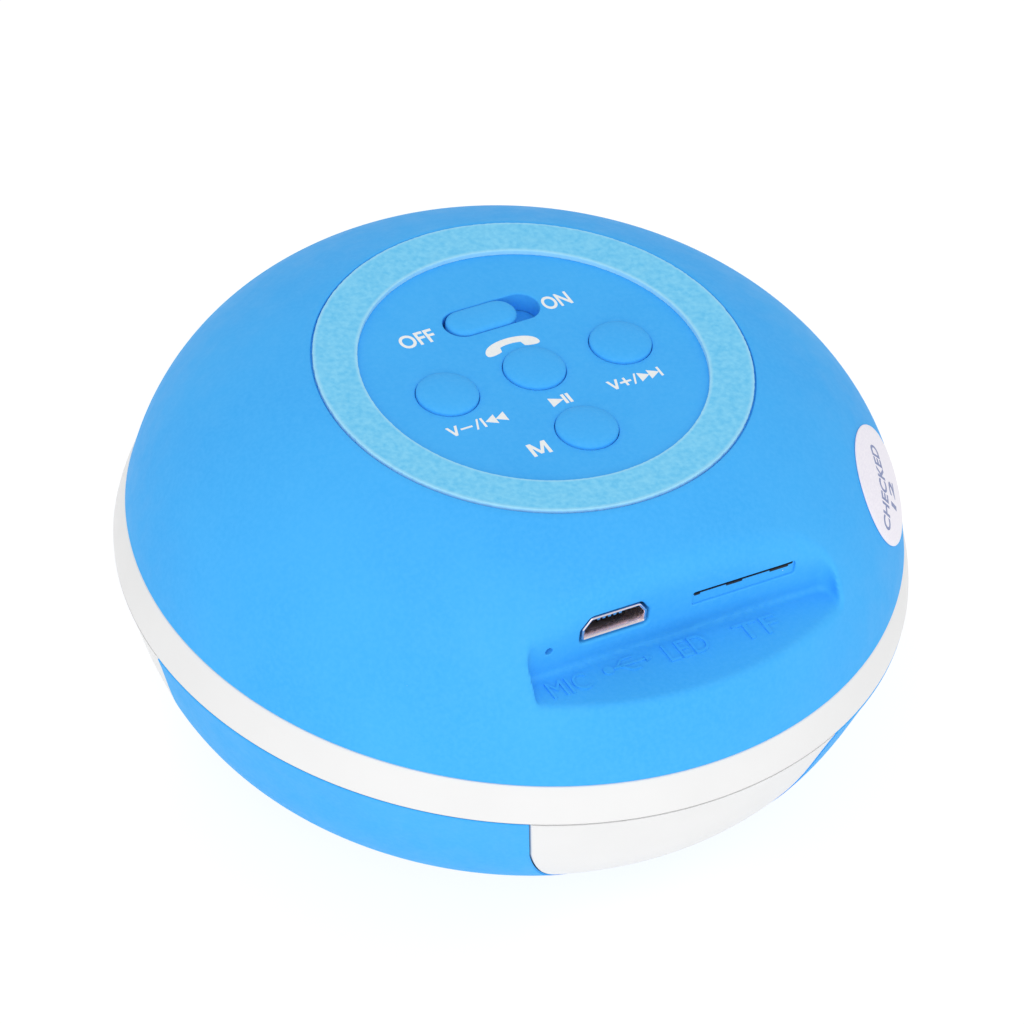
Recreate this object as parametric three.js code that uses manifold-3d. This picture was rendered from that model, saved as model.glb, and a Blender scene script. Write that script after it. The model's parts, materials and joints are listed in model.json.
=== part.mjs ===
// Round shower speaker: a soft-touch dome with a control panel and a port recess, a white band with
// three tongues, a blue lower cover, and the driver, battery and circuit board that sit inside.
//
// Millimetres, +Z up. The outer group lifts everything so that z = 0 is the face that the grille
// bezel rests on. Inside that group, heights are measured from the seam plane, where the dome
// meets the white band. The port recess faces -Y, and the legends read from -X to +X.

import * as THREE from 'three';
import { mergeVertices } from 'three/addons/utils/BufferGeometryUtils.js';
import Module from 'manifold-3d';

const wasm = await Module();
wasm.setup();

// ---- Driving dimensions ------------------------------------------------------------------------

const SEAM_HEIGHT = 23.6;
const FACE_GAP = 0.05;
const CUT_THROUGH = 4;

const BODY_STEPS = 40;
const DRIVER_STEPS = 20;
const BUTTON_STEPS = 16;
const SCREW_STEPS = 8;
const WALL_STEPS = 6;

const DOME_RADIUS = 40.0;
const DOME_TOP_RADIUS = 22.5;
const DOME_TOP = 20.65;
const DOME_BULGE = [38.2, 14.54];
const DOME_INNER_RADIUS = 37.9;
const DOME_INNER_TOP_RADIUS = 21.8;
const DOME_INNER_BULGE = [36.1, 13.2];

const PANEL_TOP = 20.25;
const PANEL_BOTTOM = 18.1;

const RING_INNER_RADIUS = 17.8;
const RING_OUTER_RADIUS = 22.35;
const RING_TOP = 20.8;
const RING_EDGE = 0.15;

const BAND_RADIUS = 41.0;
const BAND_BOTTOM = -4.25;
const BAND_CROWN = [[40.9, -3.3], [40.66, -2.2], [40.34, -1.1], [39.95, 0]];
const BAND_INNER_RADIUS = 36.5;
const SPIGOT_OUTER_RADIUS = 37.3;
const SPIGOT_TOP = 2.2;
const SEAL_GROOVE = { inner: 38.1, outer: 39.2, depth: 0.9 };

const BOWL_TOP = -4.35;
const BOWL_RIM_RADIUS = 26.6;
const BOWL_RIM = -22.3;
const BOWL_BULGE_HIGH = [38.03, -11.45];
const BOWL_BULGE_LOW = [37.5, -18.3];
const COVER_WALL = 1.5;
const LOWER_SHELL_INSET = 1.75;
const LOWER_SHELL_WALL = 1.75;

const TONGUE_TURNS = [-1.7, 115.7, -115.7];
const TONGUE = { topHalf: 17.7, shoulderHalf: 14.9, bendHalf: 11.8, flatHalf: 7.0 };
const TONGUE_SHOULDER = -12;
const TONGUE_BOTTOM = -18.6;
const TONGUE_INSET = 0.05;
const TONGUE_GAP = 0.25;

const RECESS = { left: -16.8, right: 18.2, wall: -29.5, floor: 8.35, corner: 2.5, jacket: 1.6 };
const USB = { x: -6.65, z: 12.6, wide: 7.4, narrow: 5.6, height: 2.7, deep: 5.5, metal: 0.3 };
const USB_CLEARANCE = 0.25;
const CARD_SLOT = { x: 8.2, width: 11.6, low: 12.6, high: 13.1 };
const CARD_RELIEF = { width: 11.9, low: 11.5, high: 13.15, depth: 0.7 };
const SOCKET = { width: 14.5, depth: 14, bottom: 12.1, clearance: 0.25 };
const MIC = { x: -14.1, z: 11.4, hole: 0.4, radius: 2.0, length: 1.4 };

const BUTTONS = [
  { name: 'play', x: 0, y: 0 },
  { name: 'volume_down', x: -10.05, y: 0 },
  { name: 'volume_up', x: 10.05, y: 0 },
  { name: 'mode', x: 0.3, y: -10.1 },
];
const BUTTON_RADIUS = 3.2;
const BUTTON_CLEARANCE = 0.22;
const BUTTON_TOP = 20.65;
const BUTTON_SHOULDER = 20.2;
const FLANGE_RADIUS = 4.1;
const FLANGE_TOP = 18.05;
const FLANGE_BOTTOM = 17.45;
const STEM_RADIUS = 1.5;
const BUTTON_TRAVEL = 0.4;

const SLIDER_SLOT = { x: -0.3, y: 9.0, length: 10.7, width: 4.1 };
const KNOB = { x: -1.5, length: 7.8, width: 3.7, top: 20.5 };
const KNOB_PLATE = { x: -1.7, length: 15.2, width: 5.6, bottom: 17.2, top: 18.0 };
const SLIDER_TRAVEL = 2.6;
const LEVER = { length: 1.5, width: 1.3, bottom: 16.2, top: 17.9 };
const LEVER_CLEARANCE = 0.2;
const SWITCH_BODY = { length: 8.6, width: 3.7, top: 16.9 };

const BOARD_RADIUS = 27.4;
const BOARD_FRONT = -27.0;
const BOARD_BOTTOM = 14.0;
const BOARD_TOP = 15.2;
const BOARD_SCREW_PLACES = [[19.8, 11.5], [-19.8, 11.5], [-19.8, -11.5], [19.8, -11.5]];
const BOARD_SCREW = { head: 1.9, headHeight: 1.2, shank: 0.8, length: 3.2 };
const BOARD_BOSS = { radius: 2.3, bore: 0.9, passage: 1.15 };

const TACT = { size: 4.5, top: 16.65, wellBottom: 16.0, plungerRadius: 1.1, wellRadius: 1.3 };
const PLUNGER_TOP = 17.1;
const STEM_BOTTOM = PLUNGER_TOP + FACE_GAP;

const SEAM_SCREW_ANGLES = [-45, -135, 90];
const SEAM_SCREW_REACH = 32.0;
const SEAM_SCREW = { head: 1.95, headHeight: 1.4, shank: 1.0, length: 14 };
const SEAM_BOSS = { radius: 2.9, top: 11.5, bore: 1.05, boreTop: 9, passage: 1.3, headBore: 2.1 };
const SEAM_HEAD_SEAT = -6.0;

const BASE_TOP = -19.0;
const SOUND_OPENING_RADIUS = 17.6;
const DRIVER_SCREW_ANGLES = [30, 150, 270];
const DRIVER_SCREW_REACH = 22.0;
const DRIVER_SCREW = { head: 2.3, headHeight: 1.1, shank: 0.8, length: 2.7 };
const DRIVER_SCREW_SEAT = -17.25;
const DRIVER_BOSS = { radius: 1.75, top: -17.3, bore: 0.9, boreBottom: -20.2 };
const DRIVER_RADIUS = 20.0;
const GASKET_TOP = -18.4;

const BEZEL = { outer: 27.0, inner: 23.6, ledge: 24.8, spigotInner: 24.8, spigotOuter: 26.0 };
const BEZEL_LEDGE = -23.0;
const GRILLE = { radius: 24.7, thickness: 0.6, holeRadius: 1.1, holeSides: 6, pitch: 6.2, holeReach: 21.9 };

const BATTERY = { width: 35, depth: 30, y: 6, bottom: 7.6, top: 12.8, corner: 2 };

const STICKER = { angle: -32.2, along: 0.365, halfLength: 7.2, halfWidth: 5.8, lift: 0.05, thick: 0.15 };

// ---- Materials ---------------------------------------------------------------------------------

const finish = (color, roughness, metalness = 0) =>
  new THREE.MeshStandardMaterial({ color, roughness, metalness });

const BLUE = finish(0x45aaf5, 0.62);
const LIGHT_BLUE = finish(0x86cdf3, 0.8);
const WHITE = finish(0xf1f1f2, 0.42);
const LABEL = finish(0xf6f7fa, 0.5);
const SEAL = finish(0xd8dde0, 0.7);
const BLACK_PLASTIC = finish(0x1c1d20, 0.55);
const BLACK_RUBBER = finish(0x202124, 0.8);
const STEEL = finish(0xb9bcc1, 0.35, 1);
const GRILLE_STEEL = finish(0xd5d7da, 0.4, 1);
const FERRITE = finish(0x3a3b3e, 0.7);
const PAPER = finish(0x2b2c2f, 0.85);
const COPPER = finish(0xb87339, 0.4, 1);
const SPIDER_CLOTH = finish(0xc48a3a, 0.9);
const BOARD_GREEN = finish(0x1d6b3c, 0.5);
const BATTERY_WRAP = finish(0xaeb6c0, 0.45, 0.4);
const FOAM = finish(0x2f3135, 0.95);
const LED_LENS = finish(0xe9f4ff, 0.2);
const LEAD_RED = finish(0xc22d2b, 0.5);
const LEAD_BLACK = finish(0x1b1b1d, 0.5);

// ---- Geometry helpers --------------------------------------------------------------------------

const vector2 = ([x, y]) => new THREE.Vector2(x, y);

const polar = (radius, degrees) => {
  const angle = THREE.MathUtils.degToRad(degrees);
  return [radius * Math.cos(angle), radius * Math.sin(angle)];
};

// A profile of [radius, height] pairs turned about Z. A profile that starts off the axis is a ring,
// and is closed on itself.
function turned(profile, steps = BODY_STEPS) {
  const outline = profile[0][0] > 0 ? [...profile, profile[0]] : profile;
  return new THREE.LatheGeometry(outline.map(vector2), steps).rotateX(Math.PI / 2);
}

const rod = (radius, bottom, top, steps = SCREW_STEPS) =>
  turned([[0, bottom], [radius, bottom], [radius, top], [0, top]], steps);

const tube = (inner, outer, bottom, top, steps = BODY_STEPS) =>
  turned([[inner, bottom], [outer, bottom], [outer, top], [inner, top]], steps);

// A flat outline in X and Y, given a height from bottom to top.
const plate = (shape, bottom, top, curveSegments = 6) =>
  new THREE.ExtrudeGeometry(shape, { depth: top - bottom, bevelEnabled: false, curveSegments })
    .translate(0, 0, bottom);

// A flat outline in X and Z, pushed from the plane y = start towards -Y.
const frontPlate = (shape, start, depth, curveSegments = 6) =>
  new THREE.ExtrudeGeometry(shape, { depth, bevelEnabled: false, curveSegments })
    .rotateX(Math.PI / 2)
    .translate(0, start, 0);

const block = (x, y, z, width, depth, height) =>
  new THREE.BoxGeometry(width, depth, height).translate(x, y, z + height / 2);

function roundedRectangle(left, right, low, high, corner) {
  const shape = new THREE.Shape();
  shape.moveTo(left + corner, low);
  shape.lineTo(right - corner, low);
  shape.absarc(right - corner, low + corner, corner, -Math.PI / 2, 0);
  shape.lineTo(right, high - corner);
  shape.absarc(right - corner, high - corner, corner, 0, Math.PI / 2);
  shape.lineTo(left + corner, high);
  shape.absarc(left + corner, high - corner, corner, Math.PI / 2, Math.PI);
  shape.lineTo(left, low + corner);
  shape.absarc(left + corner, low + corner, corner, Math.PI, Math.PI * 1.5);
  return shape;
}

function stadium(x, y, length, width) {
  const reach = (length - width) / 2;
  const shape = new THREE.Shape();
  shape.absarc(x + reach, y, width / 2, -Math.PI / 2, Math.PI / 2);
  shape.absarc(x - reach, y, width / 2, Math.PI / 2, Math.PI * 1.5);
  return shape;
}

function leadAlong(points, radius) {
  const path = new THREE.CatmullRomCurve3(points.map((point) => new THREE.Vector3(...point)));
  const section = new THREE.Shape();
  section.absarc(0, 0, radius, 0, Math.PI * 2);
  return new THREE.ExtrudeGeometry(section, { extrudePath: path, steps: 9, curveSegments: 3 });
}

function enclosedVolume(position, corners) {
  const [a, b, c] = [new THREE.Vector3(), new THREE.Vector3(), new THREE.Vector3()];
  let volume = 0;
  for (let i = 0; i < corners.length; i += 3) {
    a.fromBufferAttribute(position, corners[i]);
    b.fromBufferAttribute(position, corners[i + 1]);
    c.fromBufferAttribute(position, corners[i + 2]);
    volume += a.dot(b.cross(c)) / 6;
  }
  return volume;
}

// A geometry as a solid that can be joined and cut, with its faces pointing out.
function solid(geometry) {
  const bare = new THREE.BufferGeometry();
  bare.setAttribute('position', geometry.getAttribute('position'));
  bare.setIndex(geometry.getIndex());
  const merged = mergeVertices(bare, 1e-4);
  const position = merged.getAttribute('position');
  const all = merged.getIndex().array;
  const corners = [];
  for (let i = 0; i < all.length; i += 3) {
    const [a, b, c] = [all[i], all[i + 1], all[i + 2]];
    if (a !== b && b !== c && c !== a) corners.push(a, b, c);
  }
  if (enclosedVolume(position, corners) < 0) corners.reverse();
  const vertProperties = new Float32Array(position.array);
  const triVerts = new Uint32Array(corners);
  return new wasm.Manifold(new wasm.Mesh({ numProp: 3, vertProperties, triVerts }));
}

const cutAll = (body, tools) => tools.reduce((rest, tool) => rest.subtract(tool), body);
const joinAll = (body, extras) => extras.reduce((whole, extra) => whole.add(extra), body);

function part(name, body, material) {
  const { vertProperties, triVerts } = body.getMesh();
  const geometry = new THREE.BufferGeometry();
  geometry.setAttribute('position', new THREE.BufferAttribute(vertProperties, 3));
  geometry.setIndex(new THREE.BufferAttribute(triVerts, 1));
  geometry.computeVertexNormals();
  const mesh = new THREE.Mesh(geometry, material);
  mesh.name = name;
  return mesh;
}

// ---- Outer curves ------------------------------------------------------------------------------

const domeCurve = new THREE.QuadraticBezierCurve(
  new THREE.Vector2(DOME_RADIUS, 0),
  vector2(DOME_BULGE),
  new THREE.Vector2(DOME_TOP_RADIUS, DOME_TOP),
);

const domeInnerCurve = new THREE.QuadraticBezierCurve(
  new THREE.Vector2(DOME_INNER_RADIUS, 0),
  vector2(DOME_INNER_BULGE),
  new THREE.Vector2(DOME_INNER_TOP_RADIUS, PANEL_BOTTOM),
);

const bowlCurve = new THREE.CubicBezierCurve(
  new THREE.Vector2(BAND_RADIUS, BOWL_TOP),
  vector2(BOWL_BULGE_HIGH),
  vector2(BOWL_BULGE_LOW),
  new THREE.Vector2(BOWL_RIM_RADIUS, BOWL_RIM),
);

const along = (curve, steps = WALL_STEPS) => curve.getPoints(steps).map(({ x, y }) => [x, y]);

// The bowl curve moved inwards by a wall thickness, and kept below the band.
function bowlInset(inset) {
  const points = [];
  for (let step = 0; step <= WALL_STEPS; step += 1) {
    const t = step / WALL_STEPS;
    const point = bowlCurve.getPoint(t);
    const heading = bowlCurve.getTangent(t);
    const height = Math.min(point.y - heading.x * inset, BOWL_TOP);
    points.push([point.x + heading.y * inset, height]);
  }
  return points;
}

// ---- Upper shell -------------------------------------------------------------------------------

function usbOutline(grow) {
  const { x, z, wide, narrow, height } = USB;
  const shape = new THREE.Shape();
  shape.moveTo(x - wide / 2 - grow, z - height / 2 - grow);
  shape.lineTo(x + wide / 2 + grow, z - height / 2 - grow);
  shape.lineTo(x + wide / 2 + grow, z + 0.15);
  shape.lineTo(x + narrow / 2 + grow / 2, z + height / 2 + grow);
  shape.lineTo(x - narrow / 2 - grow / 2, z + height / 2 + grow);
  shape.lineTo(x - wide / 2 - grow, z + 0.15);
  return shape;
}

function recessOutline(grow) {
  const { left, right, wall, corner } = RECESS;
  const outside = -DOME_RADIUS - CUT_THROUGH;
  return roundedRectangle(left - grow, right + grow, outside, wall + grow, corner + grow);
}

// The card socket's middle in Y, its underside, and its three sides, all grown by a clearance.
function socketSpace(grow) {
  const front = RECESS.wall + RECESS.jacket + SOCKET.clearance;
  const height = BOARD_BOTTOM - SOCKET.bottom;
  const depth = SOCKET.depth;
  return [front + depth / 2, SOCKET.bottom - grow, SOCKET.width + grow * 2, depth + grow * 2, height + grow];
}

function recessTools() {
  const start = RECESS.wall + RECESS.jacket + CUT_THROUGH;
  const through = RECESS.jacket + CUT_THROUGH * 1.5;
  const { x, width, low, high } = CARD_SLOT;
  const slit = roundedRectangle(x - width / 2, x + width / 2, low, high, 0.1);
  const half = CARD_RELIEF.width / 2;
  const relief = roundedRectangle(x - half, x + half, CARD_RELIEF.low, CARD_RELIEF.high, 0.1);
  const micHole = new THREE.Shape();
  micHole.absarc(MIC.x, MIC.z, MIC.hole, 0, Math.PI * 2);
  const micPocket = new THREE.Shape();
  micPocket.absarc(MIC.x, MIC.z, MIC.radius + 0.2, 0, Math.PI * 2);
  const innerFace = RECESS.wall + RECESS.jacket;
  return [
    solid(plate(recessOutline(0), RECESS.floor, DOME_TOP + CUT_THROUGH)),
    solid(frontPlate(usbOutline(USB_CLEARANCE), start, through)),
    solid(frontPlate(slit, start, through, 1)),
    solid(frontPlate(relief, RECESS.wall + CARD_RELIEF.depth, CUT_THROUGH / 2, 1)),
    solid(frontPlate(micHole, start, through, 4)),
    solid(frontPlate(micPocket, innerFace + CUT_THROUGH, CUT_THROUGH, 8)),
    solid(block(CARD_SLOT.x, ...socketSpace(SOCKET.clearance))),
  ];
}

function panelTools() {
  const bottom = PANEL_BOTTOM - CUT_THROUGH / 2;
  const top = PANEL_TOP + CUT_THROUGH / 2;
  const holes = BUTTONS.map(({ x, y }) =>
    solid(rod(BUTTON_RADIUS + BUTTON_CLEARANCE, bottom, top, BUTTON_STEPS).translate(x, y, 0)));
  const { x, y, length, width } = SLIDER_SLOT;
  return [...holes, solid(plate(stadium(x, y, length, width), bottom, top))];
}

function seamScrewPlaces() {
  return SEAM_SCREW_ANGLES.map((degrees) => polar(SEAM_SCREW_REACH, degrees));
}

function upperShell() {
  const outside = [...along(domeCurve), [DOME_TOP_RADIUS, PANEL_TOP], [0, PANEL_TOP]];
  const inside = along(domeInnerCurve).reverse();
  const shell = solid(turned([[0, PANEL_BOTTOM], ...inside, ...outside]));
  const fullDome = solid(turned([[0, 0], ...outside]));
  const jacketBottom = RECESS.floor - RECESS.jacket;
  const jacket = solid(plate(recessOutline(RECESS.jacket), jacketBottom, DOME_TOP)).intersect(fullDome);
  const boardBosses = BOARD_SCREW_PLACES.map(([x, y]) =>
    solid(rod(BOARD_BOSS.radius, BOARD_TOP, PANEL_BOTTOM + 0.3).translate(x, y, 0)));
  const boardHoles = BOARD_SCREW_PLACES.map(([x, y]) =>
    solid(rod(BOARD_BOSS.bore, BOARD_TOP - 1, PANEL_BOTTOM - 0.4).translate(x, y, 0)));
  const seamBosses = seamScrewPlaces().map(([x, y]) =>
    solid(rod(SEAM_BOSS.radius, 0.3, SEAM_BOSS.top).translate(x, y, 0)));
  const seamHoles = seamScrewPlaces().map(([x, y]) =>
    solid(rod(SEAM_BOSS.bore, -1, SEAM_BOSS.boreTop).translate(x, y, 0)));
  const joined = joinAll(shell, [jacket, ...boardBosses, ...seamBosses]);
  return cutAll(joined, [...recessTools(), ...panelTools(), ...boardHoles, ...seamHoles]);
}

function antiSlipRing() {
  return solid(turned([
    [RING_INNER_RADIUS, PANEL_TOP],
    [RING_OUTER_RADIUS, PANEL_TOP],
    [RING_OUTER_RADIUS, RING_TOP - RING_EDGE],
    [RING_OUTER_RADIUS - RING_EDGE, RING_TOP],
    [RING_INNER_RADIUS + RING_EDGE, RING_TOP],
    [RING_INNER_RADIUS, RING_TOP - RING_EDGE],
  ]));
}

// A thin oval that follows the dome, with its long axis level.
function inspectionSticker() {
  const { angle, along: place, halfLength, halfWidth, lift, thick } = STICKER;
  const [under, over] = [lift, lift + thick].map((rise) =>
    along(domeCurve).map(([radius, height]) => [radius + rise, height + rise]));
  const wrap = solid(turned([...under, ...over.reverse()]));
  const centre = domeCurve.getPoint(place);
  const heading = domeCurve.getTangent(place);
  const oval = new THREE.Shape();
  oval.absellipse(0, 0, halfLength, halfWidth, 0, Math.PI * 2);
  const cutter = plate(oval, -3, 3, 12)
    .rotateX(Math.atan2(heading.y, -heading.x))
    .translate(0, -centre.x, centre.y)
    .rotateZ(THREE.MathUtils.degToRad(angle + 90));
  return wrap.intersect(solid(cutter));
}

// ---- Band, seal, lower shell and cover -----------------------------------------------------------

function midBand() {
  const { inner, outer, depth } = SEAL_GROOVE;
  return solid(turned([
    [BAND_INNER_RADIUS, BAND_BOTTOM],
    [BAND_RADIUS, BAND_BOTTOM],
    ...BAND_CROWN,
    [outer, 0],
    [outer, -depth],
    [inner, -depth],
    [inner, 0],
    [SPIGOT_OUTER_RADIUS, 0],
    [SPIGOT_OUTER_RADIUS, SPIGOT_TOP],
    [BAND_INNER_RADIUS, SPIGOT_TOP],
  ]));
}

function shellSeal() {
  const { inner, outer, depth } = SEAL_GROOVE;
  const gap = FACE_GAP * 2;
  return solid(tube(inner + gap, outer - gap, gap - depth, -FACE_GAP));
}

function tongueOutline(gap) {
  const { topHalf, shoulderHalf, bendHalf, flatHalf } = TONGUE;
  const slope = (topHalf - shoulderHalf) / (BOWL_TOP - TONGUE_SHOULDER);
  const top = BOWL_TOP + 2;
  const topReach = topHalf + 2 * slope + gap;
  const shoulder = shoulderHalf + gap;
  const bend = bendHalf + gap;
  const bottom = TONGUE_BOTTOM - gap;
  const shape = new THREE.Shape();
  shape.moveTo(-topReach, top);
  shape.lineTo(-shoulder, TONGUE_SHOULDER);
  shape.quadraticCurveTo(-bend, bottom, -flatHalf, bottom);
  shape.lineTo(flatHalf, bottom);
  shape.quadraticCurveTo(bend, bottom, shoulder, TONGUE_SHOULDER);
  shape.lineTo(topReach, top);
  return shape;
}

function tongueTools(gap) {
  return TONGUE_TURNS.map((degrees) =>
    solid(frontPlate(tongueOutline(gap), -20, 26).rotateZ(THREE.MathUtils.degToRad(degrees))));
}

// The three tongues: the part of a thin skin just inside the bowl curve that shows through the cover.
function tongues() {
  const skinInside = bowlInset(LOWER_SHELL_INSET + 0.3).reverse();
  const skin = solid(turned([...bowlInset(TONGUE_INSET), ...skinInside]));
  return tongueTools(0).map((tool) => skin.intersect(tool));
}

function driverScrewPlaces() {
  return DRIVER_SCREW_ANGLES.map((degrees) => polar(DRIVER_SCREW_REACH, degrees));
}

// Everything that a seam-screw boss may fill: the bowl's inside, and up to the seam plane.
function bossSpace(outer, bossTop) {
  const reach = BAND_INNER_RADIUS - 0.5;
  const baseBottom = outer[outer.length - 1][1];
  const sides = outer.slice().reverse();
  return solid(turned([[0, baseBottom], ...sides, [reach, BOWL_TOP], [reach, bossTop], [0, bossTop]]));
}

function lowerShell() {
  const outer = bowlInset(LOWER_SHELL_INSET);
  const inner = bowlInset(LOWER_SHELL_INSET + LOWER_SHELL_WALL).reverse();
  const baseBottom = outer[outer.length - 1][1];
  const bowl = solid(turned([
    ...outer,
    [SOUND_OPENING_RADIUS, baseBottom],
    [SOUND_OPENING_RADIUS, BASE_TOP],
    ...inner,
  ]));
  const bossTop = -FACE_GAP;
  const space = bossSpace(outer, bossTop);
  const seamBosses = seamScrewPlaces().map(([x, y]) =>
    solid(rod(SEAM_BOSS.radius, baseBottom, bossTop).translate(x, y, 0)).intersect(space));
  const headBores = seamScrewPlaces().map(([x, y]) =>
    solid(rod(SEAM_BOSS.headBore, baseBottom - CUT_THROUGH, SEAM_HEAD_SEAT).translate(x, y, 0)));
  const passages = seamScrewPlaces().map(([x, y]) =>
    solid(rod(SEAM_BOSS.passage, SEAM_HEAD_SEAT - 1, 1).translate(x, y, 0)));
  const driverBosses = driverScrewPlaces().map(([x, y]) =>
    solid(rod(DRIVER_BOSS.radius, BASE_TOP - 0.5, DRIVER_BOSS.top).translate(x, y, 0)));
  const driverHoles = driverScrewPlaces().map(([x, y]) =>
    solid(rod(DRIVER_BOSS.bore, DRIVER_BOSS.boreBottom, DRIVER_BOSS.top + 1).translate(x, y, 0)));
  const joined = joinAll(bowl, [...tongues(), ...seamBosses, ...driverBosses]);
  return cutAll(joined, [...headBores, ...passages, ...driverHoles]);
}

function lowerCover() {
  const cover = solid(turned([...bowlInset(0), ...bowlInset(COVER_WALL).reverse()]));
  return cutAll(cover, tongueTools(TONGUE_GAP));
}

// ---- Grille ------------------------------------------------------------------------------------

function grilleBezel() {
  const rest = -SEAM_HEIGHT;
  const coverLine = BOWL_RIM - FACE_GAP;
  return solid(turned([
    [BEZEL.inner, rest],
    [BEZEL.outer - 0.4, rest],
    [BEZEL.outer, rest + 0.4],
    [BEZEL.outer, coverLine],
    [BEZEL.spigotOuter, coverLine],
    [BEZEL.spigotOuter, -20.75],
    [BEZEL.spigotInner, -20.75],
    [BEZEL.ledge, BEZEL_LEDGE],
    [BEZEL.inner, BEZEL_LEDGE],
  ]));
}

// The corners of a regular polygon, as the outline of a round disc or hole.
const ringOfPoints = (x, y, radius, count) => Array.from({ length: count }, (_, index) => {
  const [across, up] = polar(radius, (360 * index) / count);
  return new THREE.Vector2(x + across, y + up);
});

function speakerGrille() {
  const { radius, thickness, holeRadius, holeSides, pitch, holeReach } = GRILLE;
  const bottom = BEZEL_LEDGE + FACE_GAP;
  const sheet = new THREE.Shape(ringOfPoints(0, 0, radius, BODY_STEPS));
  const rowPitch = pitch * Math.sqrt(0.75);
  const rows = Math.ceil(holeReach / rowPitch);
  for (let row = -rows; row <= rows; row += 1) {
    for (let column = -rows; column <= rows; column += 1) {
      const x = (column + (row % 2) / 2) * pitch;
      const y = row * rowPitch;
      if (Math.hypot(x, y) <= holeReach) {
        sheet.holes.push(new THREE.Path(ringOfPoints(x, y, holeRadius, holeSides)));
      }
    }
  }
  return solid(plate(sheet, bottom, bottom + thickness));
}

// ---- Driver ------------------------------------------------------------------------------------

// The driver faces down, so its mouth is the lowest part of each [radius, height] profile.
const driverTurned = (profile) => solid(turned(profile, DRIVER_STEPS));

const driverGasket = () =>
  solid(tube(SOUND_OPENING_RADIUS, DRIVER_RADIUS - 0.2, BASE_TOP, GASKET_TOP, DRIVER_STEPS));

const driverBasket = () => driverTurned([
  [17.3, -18.0],
  [DRIVER_RADIUS, -18.0],
  [DRIVER_RADIUS, -17.3],
  [18.0, -17.3],
  [12.6, -9.0],
  [12.6, -8.2],
  [6.8, -8.2],
  [6.8, -9.0],
  [11.8, -9.0],
]);

const driverSurround = () => driverTurned([
  [19.6, -18.35],
  [19.6, -18.05],
  [17.0, -18.05],
  [16.3, -19.0],
  [15.4, -19.3],
  [14.6, -18.9],
  [14.3, -18.1],
  [13.9, -18.3],
  [14.3, -19.3],
  [15.4, -19.7],
  [16.5, -19.35],
  [17.2, -18.35],
]);

const driverCone = () => driverTurned([
  [13.5, -18.2],
  [13.8, -17.9],
  [6.7, -12.5],
  [6.7, -12.9],
]);

const driverDustCap = () => driverTurned([
  [0, -15.6],
  [3.2, -15.1],
  [6.2, -13.7],
  [6.2, -13.4],
  [3.2, -14.8],
  [0, -15.3],
]);

const voiceCoil = () => solid(tube(6.05, 6.4, -13.3, -5.4, DRIVER_STEPS));

const driverSpider = () => driverTurned([
  [6.6, -10.6],
  [8.0, -11.0],
  [9.4, -10.4],
  [11.4, -10.8],
  [11.4, -10.5],
  [9.4, -10.1],
  [8.0, -10.7],
  [6.6, -10.3],
]);

const driverTopPlate = () => solid(tube(6.9, 12.6, -8.2, -5.4, DRIVER_STEPS));
const driverMagnet = () => solid(tube(7.6, 14.0, -5.4, -0.4, DRIVER_STEPS));

const driverYoke = () => driverTurned([
  [0, -8.2],
  [5.6, -8.2],
  [5.6, -0.4],
  [13.4, -0.4],
  [13.4, 1.8],
  [0, 1.8],
]);

// ---- Circuit board and what is on it -------------------------------------------------------------

function mainBoard() {
  const reach = Math.asin(BOARD_FRONT / BOARD_RADIUS);
  const outline = new THREE.Shape();
  outline.absarc(0, 0, BOARD_RADIUS, reach, Math.PI - reach);
  const board = solid(plate(outline, BOARD_BOTTOM, BOARD_TOP, 18));
  const holes = BOARD_SCREW_PLACES.map(([x, y]) =>
    solid(rod(BOARD_BOSS.passage, BOARD_BOTTOM - 1, BOARD_TOP + 1).translate(x, y, 0)));
  return cutAll(board, holes);
}

const audioChip = () => solid(block(-9, -19, BOARD_TOP, 6, 6, 0.9));

function usbShell() {
  const { deep, metal } = USB;
  const mouth = RECESS.wall + 0.15;
  const hollow = frontPlate(usbOutline(-metal), mouth + deep + 1, deep + 2);
  return solid(frontPlate(usbOutline(0), mouth + deep, deep)).subtract(solid(hollow));
}

function usbTongue() {
  const { x, z, deep } = USB;
  const back = RECESS.wall + deep;
  const base = solid(block(x, back - 0.5, z - 0.95, 5.0, 1.0, 1.9));
  const blade = solid(block(x, back - 2.4, z + 0.2, 3.8, 3.4, 0.55));
  return base.add(blade);
}

function cardSocket() {
  const { x, width, low, high } = CARD_SLOT;
  const [middle, ...rest] = socketSpace(0);
  const body = solid(block(x, middle, ...rest));
  const slot = solid(block(x, middle - 2, low, width - 0.4, SOCKET.depth - 2, high - low));
  return body.subtract(slot);
}

function microphone() {
  const shape = new THREE.Shape();
  shape.absarc(MIC.x, MIC.z, MIC.radius, 0, Math.PI * 2);
  const back = RECESS.wall + RECESS.jacket + FACE_GAP + MIC.length;
  return solid(frontPlate(shape, back, MIC.length, 8));
}

const statusLed = () => solid(block(-0.6, BOARD_FRONT + 0.6, BOARD_BOTTOM - 0.8, 1.6, 0.8, 0.8));

function battery() {
  const { width, depth, y, bottom, top, corner } = BATTERY;
  const outline = roundedRectangle(-width / 2, width / 2, y - depth / 2, y + depth / 2, corner);
  return solid(plate(outline, bottom, top));
}

const batteryTape = () => {
  const { y, top } = BATTERY;
  return solid(block(0, y, top + FACE_GAP, 22, 18, BOARD_BOTTOM - top - FACE_GAP * 2));
};

const batteryConnector = () => solid(block(0, 24.6, 10.8, 7, 3.2, BOARD_BOTTOM - 10.8));

// ---- Buttons and slide switch --------------------------------------------------------------------

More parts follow.
